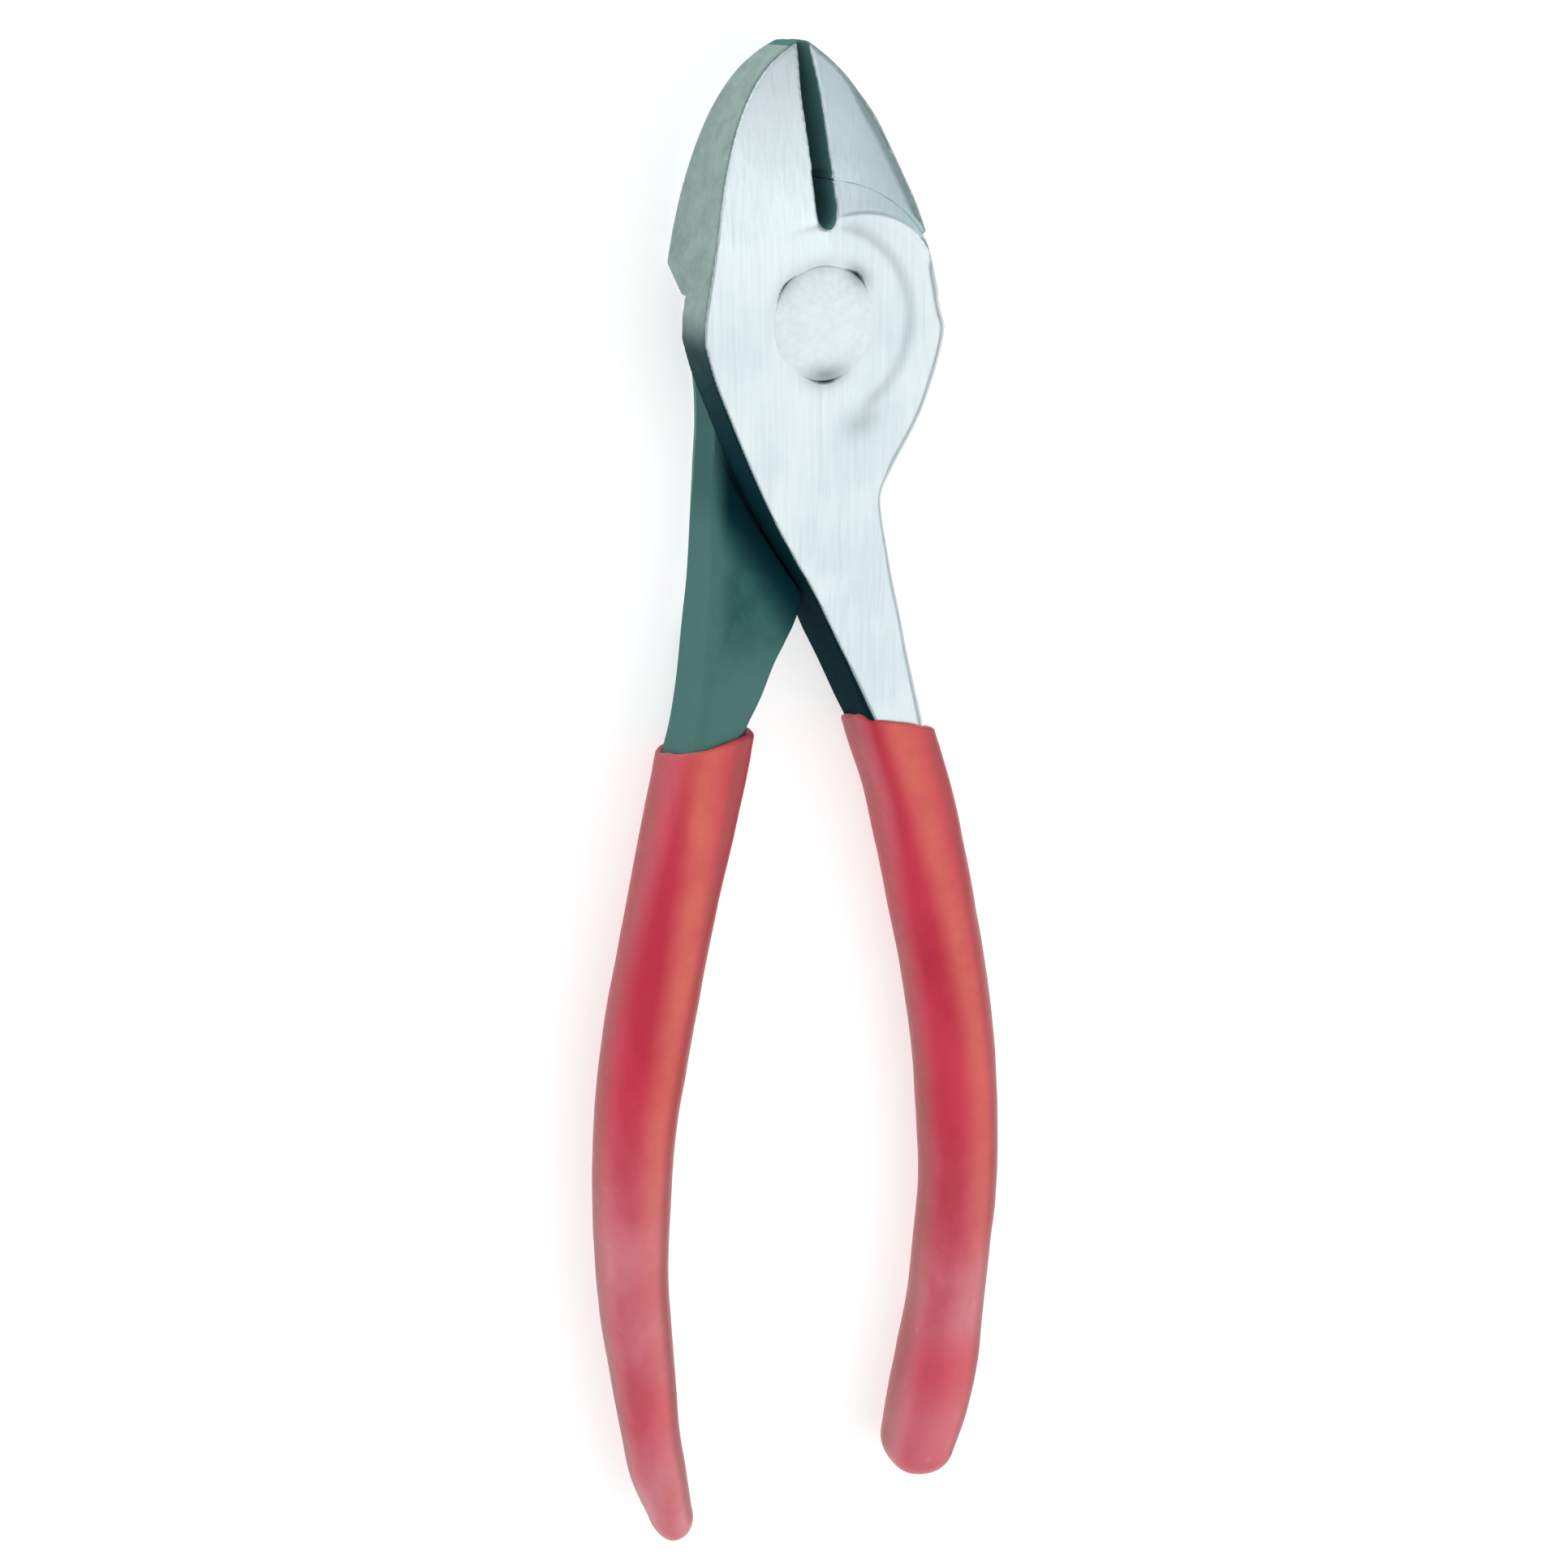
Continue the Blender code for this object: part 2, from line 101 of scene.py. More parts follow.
# half widths down each grip, and how far its middle lies to the right of the mirrored line
RIGHT_GRIP = [4.38, 4.4, 4.6, 4.8, 4.8, 4.75, 4.7, 4.55, 4.55, 4.6, 4.9, 4.85, 4.45]
LEFT_GRIP = [4.45, 4.45, 4.5, 4.72, 4.8, 4.6, 4.4, 4.1, 4.0, 3.7, 3.4, 3.35, 2.7]
RIGHT_SHIFT = [-0.1, 0.1, 0.4, 0.3, 0.25, 0.25, 0.2, 0.15, 0.15, 0.0, 0.1, 0.1, -0.15, -0.5]
LEFT_SHIFT = [-0.8, -0.45, -0.05, 0.2, 0.25, 0.2, 0.2, 0.3, 0.3, 0.25, 0.2, 0.0, 0.0, 0.3]
RIGHT_END, LEFT_END = 4.6, 4.4

# the view: a 54.4 mm lens, from the left of the tip, above the front face
CAMERA_AT = (-0.111693, 0.036390, 0.235497)
YAW, PITCH = math.radians(25.583), math.radians(19.290)
LENS = 54.406


# ------------------------------------------------------------ geometry helpers
def cutting_x(y):
    return 0.6 - 0.085 * (y - 9.4)


def arc(radius, start, end, steps):
    out = []
    for i in range(steps + 1):
        deg = start + (end - start) * i / steps
        r = radius(deg) if callable(radius) else radius
        out.append((r * math.cos(math.radians(deg)), r * math.sin(math.radians(deg))))
    return out


def smooth(points, steps=10):
    """A Catmull-Rom curve through the points."""
    ends = [points[0]] + list(points) + [points[-1]]
    found = []
    for a, b, c, d in zip(ends, ends[1:], ends[2:], ends[3:]):
        for i in range(steps):
            t = i / steps
            found.append(tuple(
                0.5 * (2 * q + (r - p) * t + (2 * p - 5 * q + 4 * r - s) * t * t
                       + (3 * q - p - 3 * r + s) * t ** 3)
                for p, q, r, s in zip(a, b, c, d)))
    found.append(tuple(points[-1]))
    return found


def outline_distance(outline, x, y):
    """Signed distance to a closed outline, negative inside."""
    best = np.full(x.shape, 1e9)
    inside = np.zeros(x.shape, bool)
    for (ax, ay), (bx, by) in zip(outline, outline[1:] + outline[:1]):
        dx, dy = bx - ax, by - ay
        length = dx * dx + dy * dy
        if length < 1e-12:
            continue
        t = np.clip(((x - ax) * dx + (y - ay) * dy) / length, 0.0, 1.0)
        best = np.minimum(best, (x - ax - t * dx) ** 2 + (y - ay - t * dy) ** 2)
        if dy != 0.0:
            inside ^= ((ay > y) != (by > y)) & (x < ax + (y - ay) * dx / dy)
    return np.where(inside, -1.0, 1.0) * np.sqrt(best)


def ramp(low, high, v):
    """0 below low, 1 above high, smooth between."""
    t = np.clip((v - low) / (high - low), 0.0, 1.0)
    return t * t * (3.0 - 2.0 * t)


def bump(v, centre, width):
    return np.exp(-((v - centre) / width) ** 2)


def both(a, b, k):
    """The part inside both fields, with the meeting edge rounded over about k."""
    h = np.maximum(k - np.abs(a - b), 0.0) / k
    return np.maximum(a, b) + h * h * k * 0.25


def either(a, b, k):
    h = np.maximum(k - np.abs(a - b), 0.0) / k
    return np.minimum(a, b) - h * h * k * 0.25


def rounded(flat, deep, r):
    """A plate whose outline field is flat and whose faces are deep, edge radius r."""
    a, b = flat + r, deep + r
    return np.minimum(np.maximum(a, b), 0.0) + np.hypot(np.maximum(a, 0.0), np.maximum(b, 0.0)) - r


class Space:
    """A grid of points that the fields are worked out on."""

    def __init__(self, low, high, step):
        self.low, self.step = np.array(low, float), step
        axes = [np.arange(a, b + step, step) for a, b in zip(low, high)]
        self.x, self.y, self.z = np.meshgrid(*axes, indexing="ij", sparse=True)
        self.fx, self.fy = np.meshgrid(axes[0], axes[1], indexing="ij")
        self.radius = np.hypot(self.fx, self.fy)[:, :, None]
        self.angle = np.degrees(np.arctan2(self.fy, self.fx))[:, :, None]

    def outline(self, points):
        return outline_distance(points, self.fx, self.fy)[:, :, None]

    def surface(self, field, adaptivity=0.0):
        limit = 3.0 * self.step
        grid = openvdb.FloatGrid(background=limit)
        grid.copyFromArray(np.clip(field, -limit, limit).astype(np.float32))
        points, tris, quads = grid.convertToPolygons(isovalue=0.0, adaptivity=adaptivity)
        points = points * self.step + self.low
        return points, [tuple(t) for t in tris.tolist()] + [tuple(q) for q in quads.tolist()]


def make_mesh(name, points, faces):
    """Points in design millimetres, made an object in the scene's metres."""
    mesh = bpy.data.meshes.new(name)
    placed = (np.asarray(points, float) + (0.0, 0.0, HALF)) * 0.001
    mesh.from_pydata([tuple(p) for p in placed], [], faces)
    mesh.validate()
    mesh.update()
    mesh.shade_smooth()
    obj = bpy.data.objects.new(name, mesh)
    bpy.context.scene.collection.objects.link(obj)
    return obj


def volume(points, faces):
    total = 0.0
    pts = np.asarray(points)
    for size in (3, 4):
        some = np.array([f for f in faces if len(f) == size])
        if len(some) == 0:
            continue
        for k in range(1, size - 1):
            a, b, c = pts[some[:, 0]], pts[some[:, k]], pts[some[:, k + 1]]
            total += np.einsum("ij,ij->i", a, np.cross(b, c)).sum() / 6.0
    return total


def facing_out(points, faces):
    return [f[::-1] for f in faces] if volume(points, faces) < 0 else faces


def read(obj):
    """The object's points and normals, in design millimetres."""
    count = len(obj.data.vertices)
    co = np.empty(count * 3, np.float32)
    obj.data.vertices.foreach_get("co", co)
    normal = np.empty(count * 3, np.float32)
    obj.data.vertex_normals.foreach_get("vector", normal)
    co = co.reshape(-1, 3).astype(float) * 1000.0
    co[:, 2] -= HALF
    return co, normal.reshape(-1, 3).astype(float)


def paint(obj, name, values):
    """A number on each point of the mesh, for the material to read."""
    layer = obj.data.attributes.new(name, "FLOAT", "POINT")
    layer.data.foreach_set("value", np.asarray(values, np.float32).ravel())


# ------------------------------------------------------------ lever fields
def jaw_half(y):
    """Half thickness of the jaws: full at the joint, thin at the tip."""
    return HALF - (HALF - TIP_HALF) * np.clip((y - TAPER_Y) / (TIP_Y - TAPER_Y), 0.0, 1.25)


def soft(v, k=1.2):
    """v above zero and nothing below, with a rounded knee."""
    return 0.5 * (v + np.sqrt(v * v + k * k)) - 0.5 * k * np.exp(-np.abs(v) / k)


def face_left(y):
    """The left jaw's front face, which slopes to the tip."""
    return HALF - (HALF - TIP_HALF) * (np.maximum(y - 5.0, 0.0) / (TIP_Y - 5.0)) ** 1.55


def face_right(x, y):
    """The right-hand side of the front face. It breaks along a circle and slopes away beyond it."""
    away = np.hypot(x - BREAK_X, y - BREAK_Y) - BREAK_R
    upper = ramp(3.5, 7.5, y)
    slope = 3.2 * (np.maximum(away, 0.0) / 17.6) ** 1.15
    return HALF - upper * (0.14 * ramp(-0.06, 0.30, away) + slope)


def shank_half(y):
    """Half thickness of a face that eases from the joint to the handle."""
    return HALF - (HALF - SHANK_HALF) * ramp(-13.0, -44.0, y)


def ramp_height(y, start, full=-42.0):
    """Height past the lap plane of a shank that thickens towards its handle."""
    straight = (SHANK_HALF + LAP_GAP) * np.clip((start - y) / (start - full), 0.0, 1.0)
    eased = (SHANK_HALF + LAP_GAP) * ramp(start, full - 0.5, y)
    return -LAP_GAP + 0.6 * straight + 0.4 * np.minimum(eased, straight + 0.2)


def bevels(space, side):
    """The wedge of air in front of and behind the cutting edge, negative inside."""
    height = np.abs(space.z)
    face = jaw_half(space.y)
    open_to = GROOVE * (1.0 - 0.34 * ramp(22.5, 28.0, space.y))
    slope = (open_to - EDGE_GAP) / (face - EDGE_LAND)
    offset = side * (space.x - cutting_x(space.y)) - EDGE_GAP - (height - EDGE_LAND) * slope
    wedge = offset / np.sqrt(1.0 + slope ** 2)
    return np.maximum(wedge, np.maximum(EDGE_LAND - height, SLOT_TOP - 0.6 - space.y))


def sink(space, face, wide):
    """Air of the counterbore on one face (+1 front, -1 rear), and its bore."""
    depth = HALF - SINK_DEPTH - face * space.z
    return np.minimum(np.maximum(space.radius - wide, depth), space.radius - BORE_R)


def front_field():
    space = Space((-15.6, -52.6, -6.8), (17.2, 29.4, 6.8), VOXEL)
    x = cutting_x(SLOT_LOW + SLOT_END)
    slot_bottom = [(x + SLOT_HALF * math.cos(math.radians(a)),
                    SLOT_LOW + SLOT_END + SLOT_END * math.sin(math.radians(a)))
                   for a in range(180, 361, 10)]
    outline = (
        smooth([(-13.7, 0.8)] + LEFT_JAW)
        + [(cutting_x(TIP_Y) - EDGE_GAP, TIP_Y)]
        + [(cutting_x(SLOT_TOP) - EDGE_GAP, SLOT_TOP)]
        + [(cutting_x(SLOT_TOP) - SLOT_HALF, SLOT_TOP)]
        + slot_bottom
        + arc(EAR_R, 85.3, 8.0, 60)
        + smooth([(14.75, 0.4)] + FRONT_OUTER + [(14.35, -47.6), (14.9, -50.2)])
        + smooth([(9.2, -50.2), (8.0, -47.2)] + FRONT_INNER[:-1])
    )
    flat = space.outline(outline)
    right = ramp(58.0, 38.0, np.abs(space.angle + 22.0))      # the ear's free rim
    # the ear's rim falls away outside the turned ring
    fall = 0.05 * ramp(RING_R - 0.1, RING_R + 0.25, space.radius) + 0.25 * ramp(RING_R + 0.5, 15.0, space.radius)
    ring = 0.11 * bump(space.radius, RING_R, 0.55)
    shown = ramp(-75.0, -50.0, space.angle) * ramp(125.0, 85.0, space.angle)
    # below the slot the two jaws' faces run into each other
    reach = 1.0 + 0.55 * np.maximum(SLOT_LOW + 0.6 - space.y, 0.0)
    side = ramp(-reach, reach, space.x - cutting_x(space.y))
    side = np.where(space.y < SLOT_LOW + 0.6, side, 1.0 * (space.x > cutting_x(space.y)))
    top = side * face_right(space.x, space.y) + (1.0 - side) * face_left(space.y)
    top = np.where(space.y > 0, top, shank_half(space.y))
    ear = 1.0 - (space.y > 2.0) * ramp(-0.7, 0.3, np.hypot(space.x - BREAK_X, space.y - BREAK_Y) - BREAK_R)
    top = top - (fall * shown * ear + ring * (0.06 + 0.94 * shown)) * ramp(-21.0, -13.0, space.y)
    low = np.where(space.y > 0, jaw_half(space.y), HALF)
    low = np.where(space.y < FRONT_RAMP_Y, ramp_height(space.y, FRONT_RAMP_Y, -36.0), low)
    deep = np.maximum(space.z - top, -space.z - low)
    lapped = ramp(28.0, 34.0, space.angle) * ramp(95.0, 85.0, space.angle) * ramp(12.5, 13.5, space.radius)
    edge = (0.42 - 0.34 * lapped + 1.25 * right * (space.radius > 6.0) * ramp(-24.0, -14.0, space.y)
            + 0.75 * ramp(-14.0, -30.0, space.y) * (space.x > 0.33 * (-space.y) - 3.5)
            + 0.55 * ramp(-34.0, -46.0, space.y))
    front_edge = np.where(space.z > 0, edge, np.minimum(edge, 0.9))
    field = rounded(flat, deep, front_edge)

    pocket = (
        arc(REAR_SHOULDER_R, 88.0, 170.0, 50)
        + [(-13.0, 6.1), (-20.0, 8.0), (-20.0, -56.0), (-9.0 + CLEAR, -56.0)]
        + [(-9.0 + CLEAR, -46.0)]
        + [(px + CLEAR + 0.1, py) for px, py in smooth(BACK_INNER)]
        + [(20.0, -5.0), (20.0, 20.0), (cutting_x(14.0), 20.0)]
    )
    lap = np.maximum(space.outline(pocket), space.z - LAP_GAP)
    lap = np.where(space.y < -46.5, 9.0, lap)
    field = both(field, -lap, 0.12)
    field = both(field, -bevels(space, -1), 0.15)
    # the head is set tight in its seat, but for three short gaps
    gap = (HEAD_R - 0.60 + 0.61 * bump(space.angle, 138.0, 19.0)
           + 0.69 * bump(space.angle, 51.0, 15.0) + 0.68 * bump(space.angle, -87.0, 21.0))
    field = both(field, -sink(space, 1, gap), 0.12)
    points, faces = space.surface(field)
    return points, facing_out(points, faces)


def back_field():
    space = Space((-16.8, -52.6, -6.8), (15.2, 29.4, 6.8), VOXEL)
    x = cutting_x(SLOT_LOW + SLOT_END)
    slot_bottom = [(x + SLOT_HALF * math.cos(math.radians(a)),
                    SLOT_LOW + SLOT_END + SLOT_END * math.sin(math.radians(a)))
                   for a in range(0, -151, -10)]         # no further, or it would reach past the rear disc
    outline = (
        [(cutting_x(SLOT_TOP) + SLOT_HALF, SLOT_TOP), (cutting_x(SLOT_TOP) + EDGE_GAP, SLOT_TOP)]
        + [(cutting_x(TIP_Y) + EDGE_GAP, TIP_Y)]
        + smooth(RIGHT_JAW + [(12.65, 8.75)])
        + [(11.6 * math.cos(math.radians(33.0)), 11.6 * math.sin(math.radians(33.0)))]
        + arc(REAR_DISC_R, 29.0, -20.0, 30)
        + smooth(BACK_INNER[::-1] + [(-9.3, -47.0), (-10.2, -50.2)])
        + smooth([(-15.9, -50.2), (-15.2, -47.4)] + BACK_OUTER[::-1])
        + arc(REAR_DISC_R, -172.0, -260.0, 50)
        + slot_bottom[::-1]
    )
    flat = space.outline(outline)
    top = np.where(space.y > 0, face_right(space.x, space.y), HALF)
    top = np.where(space.y < BACK_RAMP_Y, ramp_height(space.y, BACK_RAMP_Y), top)
    low = np.where(space.y > 0, jaw_half(space.y), shank_half(space.y))
    deep = np.maximum(space.z - top, -space.z - low)
    outside = ramp(2.0, 6.0, space.x) * ramp(4.0, 12.0, space.y)   # the jaw's outer right edge
    edge = (0.42 + 1.5 * outside * ramp(29.0, 20.0, space.y)
            + 0.6 * ramp(-14.0, -30.0, space.y) + 0.5 * ramp(-34.0, -46.0, space.y))
    field = rounded(flat, deep, edge)

    wall = [(px - CLEAR - 0.1, py) for px, py in smooth(FRONT_INNER) if py < BACK_RAMP_Y]
    pocket = (
        arc(SHOULDER_R, 33.0, 92.0, 50)
        + [(-6.0, 18.0), (-20.0, 18.0), (-20.0, BACK_RAMP_Y - 0.3), (-9.5, BACK_RAMP_Y - 0.3)]
        + wall[::-1]
        + [(7.0, -56.0), (25.0, -56.0), (25.0, 7.0), (16.0, 8.9)]
    )
    lap = np.maximum(space.outline(pocket), -LAP_GAP - space.z)
    lap = np.where(space.y < -46.5, 9.0, lap)
    field = both(field, -lap, 0.05)
    field = both(field, -bevels(space, 1), 0.15)
    field = both(field, -sink(space, -1, SINK_R - 0.15 + 0 * space.angle), 0.25)
    points, faces = space.surface(field)
    return points, facing_out(points, faces)


# ------------------------------------------------------------ handles
class Handle:
    """The centre line of one handle with widths along it."""

    def __init__(self, side, widths, shifts, end):
        self.side, self.end = side, end
        self.seat = -0.75 if side > 0 else 0.27          # middle of the shank in the mouth of the grip
        line = smooth([(side * x + shift, y) for (x, y), shift in zip(HANDLE, shifts)], 12)
        self.line = np.array(line)
        self.along = np.concatenate([[0.0], np.cumsum(np.hypot(*np.diff(self.line, axis=0).T))])
        width = smooth([(float(i), w) for i, w in enumerate([widths[0] - 0.1] + list(widths))], 12)
        self.width = np.array([w for _, w in width])

    def at(self, s):
        return (np.interp(s, self.along, self.line[:, 0]), np.interp(s, self.along, self.line[:, 1]))

    def frame(self, s):
        """Place, direction across the handle, and half width at a distance along it."""
        x, y = self.at(s)
        x0, y0 = self.at(np.maximum(s - 0.6, 0.0))
        x1, y1 = self.at(np.minimum(s + 0.6, self.along[-1]))
        size = np.hypot(x1 - x0, y1 - y0)
        tx, ty = (x1 - x0) / size, (y1 - y0) / size
        return x, y, -ty * 1.0, tx * 1.0, np.interp(s, self.along, self.width)


def section(a, b, n, angle):
    """A squarish oval: half width a, half depth b, boxier for a larger n."""
    c, s = math.cos(angle), math.sin(angle)
    r = (abs(c / a) ** n + abs(s / b) ** n) ** (-1.0 / n)
    return r * c, r * s


def tang_surface(handle):
    """The bare handle inside the grip, from the shank's end to its rounded tip."""
    rows, sides = [], 40
    start, stop = 6.6, float(np.interp(-140.5, handle.line[::-1, 1], handle.along[::-1]))
    spots = list(np.linspace(start, stop, 70))
    for s in spots:
        x, y, nx, ny, w = handle.frame(s)
        r = min(w - 1.5, 3.4 + 0.012 * (y + 48.0))
        grow = float(ramp(6.0, 14.0, s))
        rows.append((x, y, nx, ny, (2.45 + (r - 2.45) * grow), (4.1 + (r * 1.12 - 4.1) * grow), 3.4 - 1.0 * grow))
    x, y, nx, ny, w = handle.frame(stop)
    last = rows[-1][4]
    tx, ty = ny, -nx
    for deg in (25, 45, 62, 76, 86):
        a = math.radians(deg)
        rows.append((x + tx * last * math.sin(a), y + ty * last * math.sin(a), nx, ny,
                     last * math.cos(a), last * 1.12 * math.cos(a), 2.4))
    points, faces = [], []
    for x, y, nx, ny, a, b, n in rows:
        for j in range(sides):
            u, v = section(a, b, n, 2 * math.pi * j / sides)
            points.append((x + nx * u, y + ny * u, v))
    loft(points, faces, 0, len(rows), sides)
    cap(faces, 0, sides, False)
    cap(faces, (len(rows) - 1) * sides, sides, True)
    return points, facing_out(points, faces)


def loft(points, faces, start, rows, sides):
    for i in range(rows - 1):
        for j in range(sides):
            k = (j + 1) % sides
            a, b = start + i * sides, start + (i + 1) * sides
            faces.append((a + j, a + k, b + k, b + j))


def cap(faces, start, sides, last):
    ring = tuple(range(start, start + sides))
    faces.append(ring[::-1] if not last else ring)


def hash_noise(points, size, seed):
    """Smooth value noise at points, about -1 to 1, the same each run."""
    p = np.asarray(points, float) / size + seed * 17.31
    base = np.floor(p).astype(np.int64)
    t = p - base
    t = t * t * (3.0 - 2.0 * t)
    total = np.zeros(len(p))
    for dx in (0, 1):
        for dy in (0, 1):
            for dz in (0, 1):
                q = base + (dx, dy, dz)
                n = (q[:, 0] * 73856093) ^ (q[:, 1] * 19349663) ^ (q[:, 2] * 83492791)
                n = (n ^ (n >> 13)) * 1274126177
                value = ((n ^ (n >> 16)) & 0xFFFF) / 32767.5 - 1.0
                weight = (t[:, 0] if dx else 1 - t[:, 0]) * (t[:, 1] if dy else 1 - t[:, 1]) * (t[:, 2] if dz else 1 - t[:, 2])
                total += value * weight
    return total


def grip_surface(handle, seed):
    """A sock of dipped vinyl: the hollow, the rolled rim, the skin and the closed end."""
    sides = 96
    side = handle.side
    length = handle.along[-1]
    reach_up = 0.0 if side > 0 else 0.95                     # the left grip reaches further up its shank

    def rim_at(u_sign_width, depth):
        """Where along the handle the slanted rim plane cuts the line at this offset."""
        low, high = 0.2, 14.0
        for _ in range(40):
            middle = (low + high) / 2
            x, y, nx, ny, _ = handle.frame(middle)
            px, py = x + nx * u_sign_width, y + ny * u_sign_width
            if py > RIM_Y + reach_up + 0.22 * (12.0 - side * px) + 0.2 * (depth - 4.4):
                low = middle
            else:
                high = middle
        return (low + high) / 2

    def outer(s, angle, shrink=0.0):
        x, y, nx, ny, w = handle.frame(s)
        near = 1.0 - ramp(8.0, 34.0, s)                     # boxy where it hugs the shank
        a = w - 0.40 * near - shrink
        b = w * 1.12 - shrink + (5.45 - w * 1.12) * near
        n = 2.35 + 2.4 * near
        shift = -0.45 * side * float(1.0 - ramp(3.0, 22.0, s))
        u, v = section(a, b, n, angle)
        return x + nx * u + shift * side * side, y + ny * u, v

    def inner(s, angle):
        x, y, nx, ny, w = handle.frame(s)
        near = 1.0 - float(ramp(5.0, 14.0, s))
        r = min(w - 1.15, 3.4 + 0.012 * (y + 48.0) + 0.3)
        a, b = r + ((3.02 if side > 0 else 3.16) - r) * near, r * 1.12 + (4.62 - r * 1.12) * near
        shift = handle.seat * near
        u, v = section(a, b, 2.4 + 2.6 * near, angle)
        return x + nx * u + shift, y + ny * u, v

    angles = [2 * math.pi * j / sides for j in range(sides)]
    rim = []
    for a in angles:
        rim.append(rim_at(*section(handle.width[0], handle.width[0] * 1.12, 4.5, a)))
    rim = np.array(rim)
    wave = 0.22 * hash_noise([(3 * math.cos(a), 3 * math.sin(a), seed) for a in angles], 1.3, seed)
    rim = rim + wave
    rows = []
    stop = float(np.interp(-140.9, handle.line[::-1, 1], handle.along[::-1]))
    # the hollow, from its closed end up to the rim
    x, y, nx, ny, w = handle.frame(stop)
    tx, ty = ny, -nx
    for deg in (86, 70, 50, 25):
        a = math.radians(deg)
        ring = []
        for angle in angles:
            px, py, pz = inner(stop, angle)
            c = math.cos(a)
            ring.append((x + (px - x) * c + tx * 3.2 * math.sin(a), y + (py - y) * c + ty * 3.2 * math.sin(a), pz * c))
        rows.append(ring)
    for t in np.linspace(1.0, 0.0, 44):
        rows.append([inner(r + 0.55 + (stop - r - 0.55) * t, a) for r, a in zip(rim, angles)])
    # the rolled rim
    for deg in (15, 40, 65, 90, 115, 140, 165):
        a = math.radians(deg)
        mix = (1.0 - math.cos(a)) / 2.0
        ring = []
        for r, angle in zip(rim, angles):
            reach = r + 0.55 * (1.0 - math.sin(a))
            i, o = np.array(inner(r + 0.55, angle)), np.array(outer(r + 0.55, angle))
            x0, y0, nx, ny, _ = handle.frame(reach)
            x1, y1, _, _, _ = handle.frame(r + 0.55)
            p = i + (o - i) * mix + np.array((x0 - x1, y0 - y1, 0.0))
            ring.append(tuple(p))
        rows.append(ring)
    # the skin
    for t in np.linspace(0.0, 1.0, 190):
        rows.append([outer(r + 0.55 + (length - r - 0.55) * t, a) for r, a in zip(rim, angles)])
    # the rounded end
    x, y, nx, ny, w = handle.frame(length)
    tx, ty = ny, -nx
    for deg in (8, 17, 26, 35, 44, 53, 61, 69, 76, 82, 87):
        a = math.radians(deg)
        c = math.cos(a)
        ring = []
        for angle in angles:
            px, py, pz = outer(length, angle)
            ring.append((x + (px - x) * c + tx * handle.end * math.sin(a),
                         y + (py - y) * c + ty * handle.end * math.sin(a), pz * c))
        rows.append(ring)
    points = np.array([p for ring in rows for p in ring])
    faces = []
    loft(points, faces, 0, len(rows), sides)
    cap(faces, 0, sides, False)
    cap(faces, (len(rows) - 1) * sides, sides, True)
    faces = facing_out(points, faces)
    # the dip isn't even: its skin swells and thins a little at random
    skin = np.arange(len(points)) >= 59 * sides
    centre = np.array([handle.at(s) for s in np.linspace(0, length, 400)])
    swell = 0.09 * hash_noise(points, 9.0, seed) + 0.035 * hash_noise(points, 3.2, seed + 1)
    near = np.argmin((points[:, None, 0] - centre[None, ::4, 0]) ** 2 + (points[:, None, 1] - centre[None, ::4, 1]) ** 2, axis=1)
    away = points - np.column_stack([centre[::4][near], np.zeros(len(points))])
    size = np.linalg.norm(away, axis=1, keepdims=True)
    points = points + np.where(skin[:, None], away / np.maximum(size, 1e-6) * swell[:, None], 0.0)
    points[:, 2] = np.maximum(points[:, 2], -HALF + 0.02)
    return points, faces


def rivet_surface():
    """Turned: domed front head with a soft edge, shank, flush rear head."""
    floor = HALF - SINK_DEPTH + 0.25
    profile = [(0.0, HALF + DOME)]
    edge = 0.16
    for i in range(1, 25):
        r = (HEAD_R - edge) * i / 24.0
        profile.append((r, HALF - 0.04 + (DOME + 0.04) * (1.0 - (r / HEAD_R) ** 2.1)))
    r0, z0 = profile[-1]
    for deg in (25, 50, 75, 90):
        a = math.radians(deg)
        profile.append((r0 + edge * math.sin(a), z0 - 0.03 * math.sin(a) - edge * (1.0 - math.cos(a)) * 1.2))
    profile += [(HEAD_R, floor), (RIVET_R, floor), (RIVET_R, -floor), (HEAD_R, -floor),
                (HEAD_R, -HALF + 0.2)]
    for deg in (30, 60, 90):
        a = math.radians(deg)
        profile.append((HEAD_R - 0.2 + 0.2 * math.cos(a), -HALF + 0.2 - 0.2 * math.sin(a)))
    profile += [((HEAD_R - 0.2) * k / 4.0, -HALF) for k in (3, 2, 1)]
    profile += [(0.0, -HALF)]
    sides = 128
    points, faces = [(0.0, 0.0, profile[0][1])], []
    for r, z in profile[1:-1]:
        for j in range(sides):
            a = 2 * math.pi * j / sides
            points.append((r * math.cos(a), r * math.sin(a), z))
    points.append((0.0, 0.0, profile[-1][1]))
    rings = len(profile) - 2
    for j in range(sides):
        k = (j + 1) % sides
        faces.append((0, 1 + j, 1 + k))
        for i in range(rings - 1):
            a, b = 1 + i * sides, 1 + (i + 1) * sides
            faces.append((a + j, b + j, b + k, a + k))
        a = 1 + (rings - 1) * sides
        faces.append((a + j, len(points) - 1, a + k))
    return np.array(points), facing_out(points, faces)


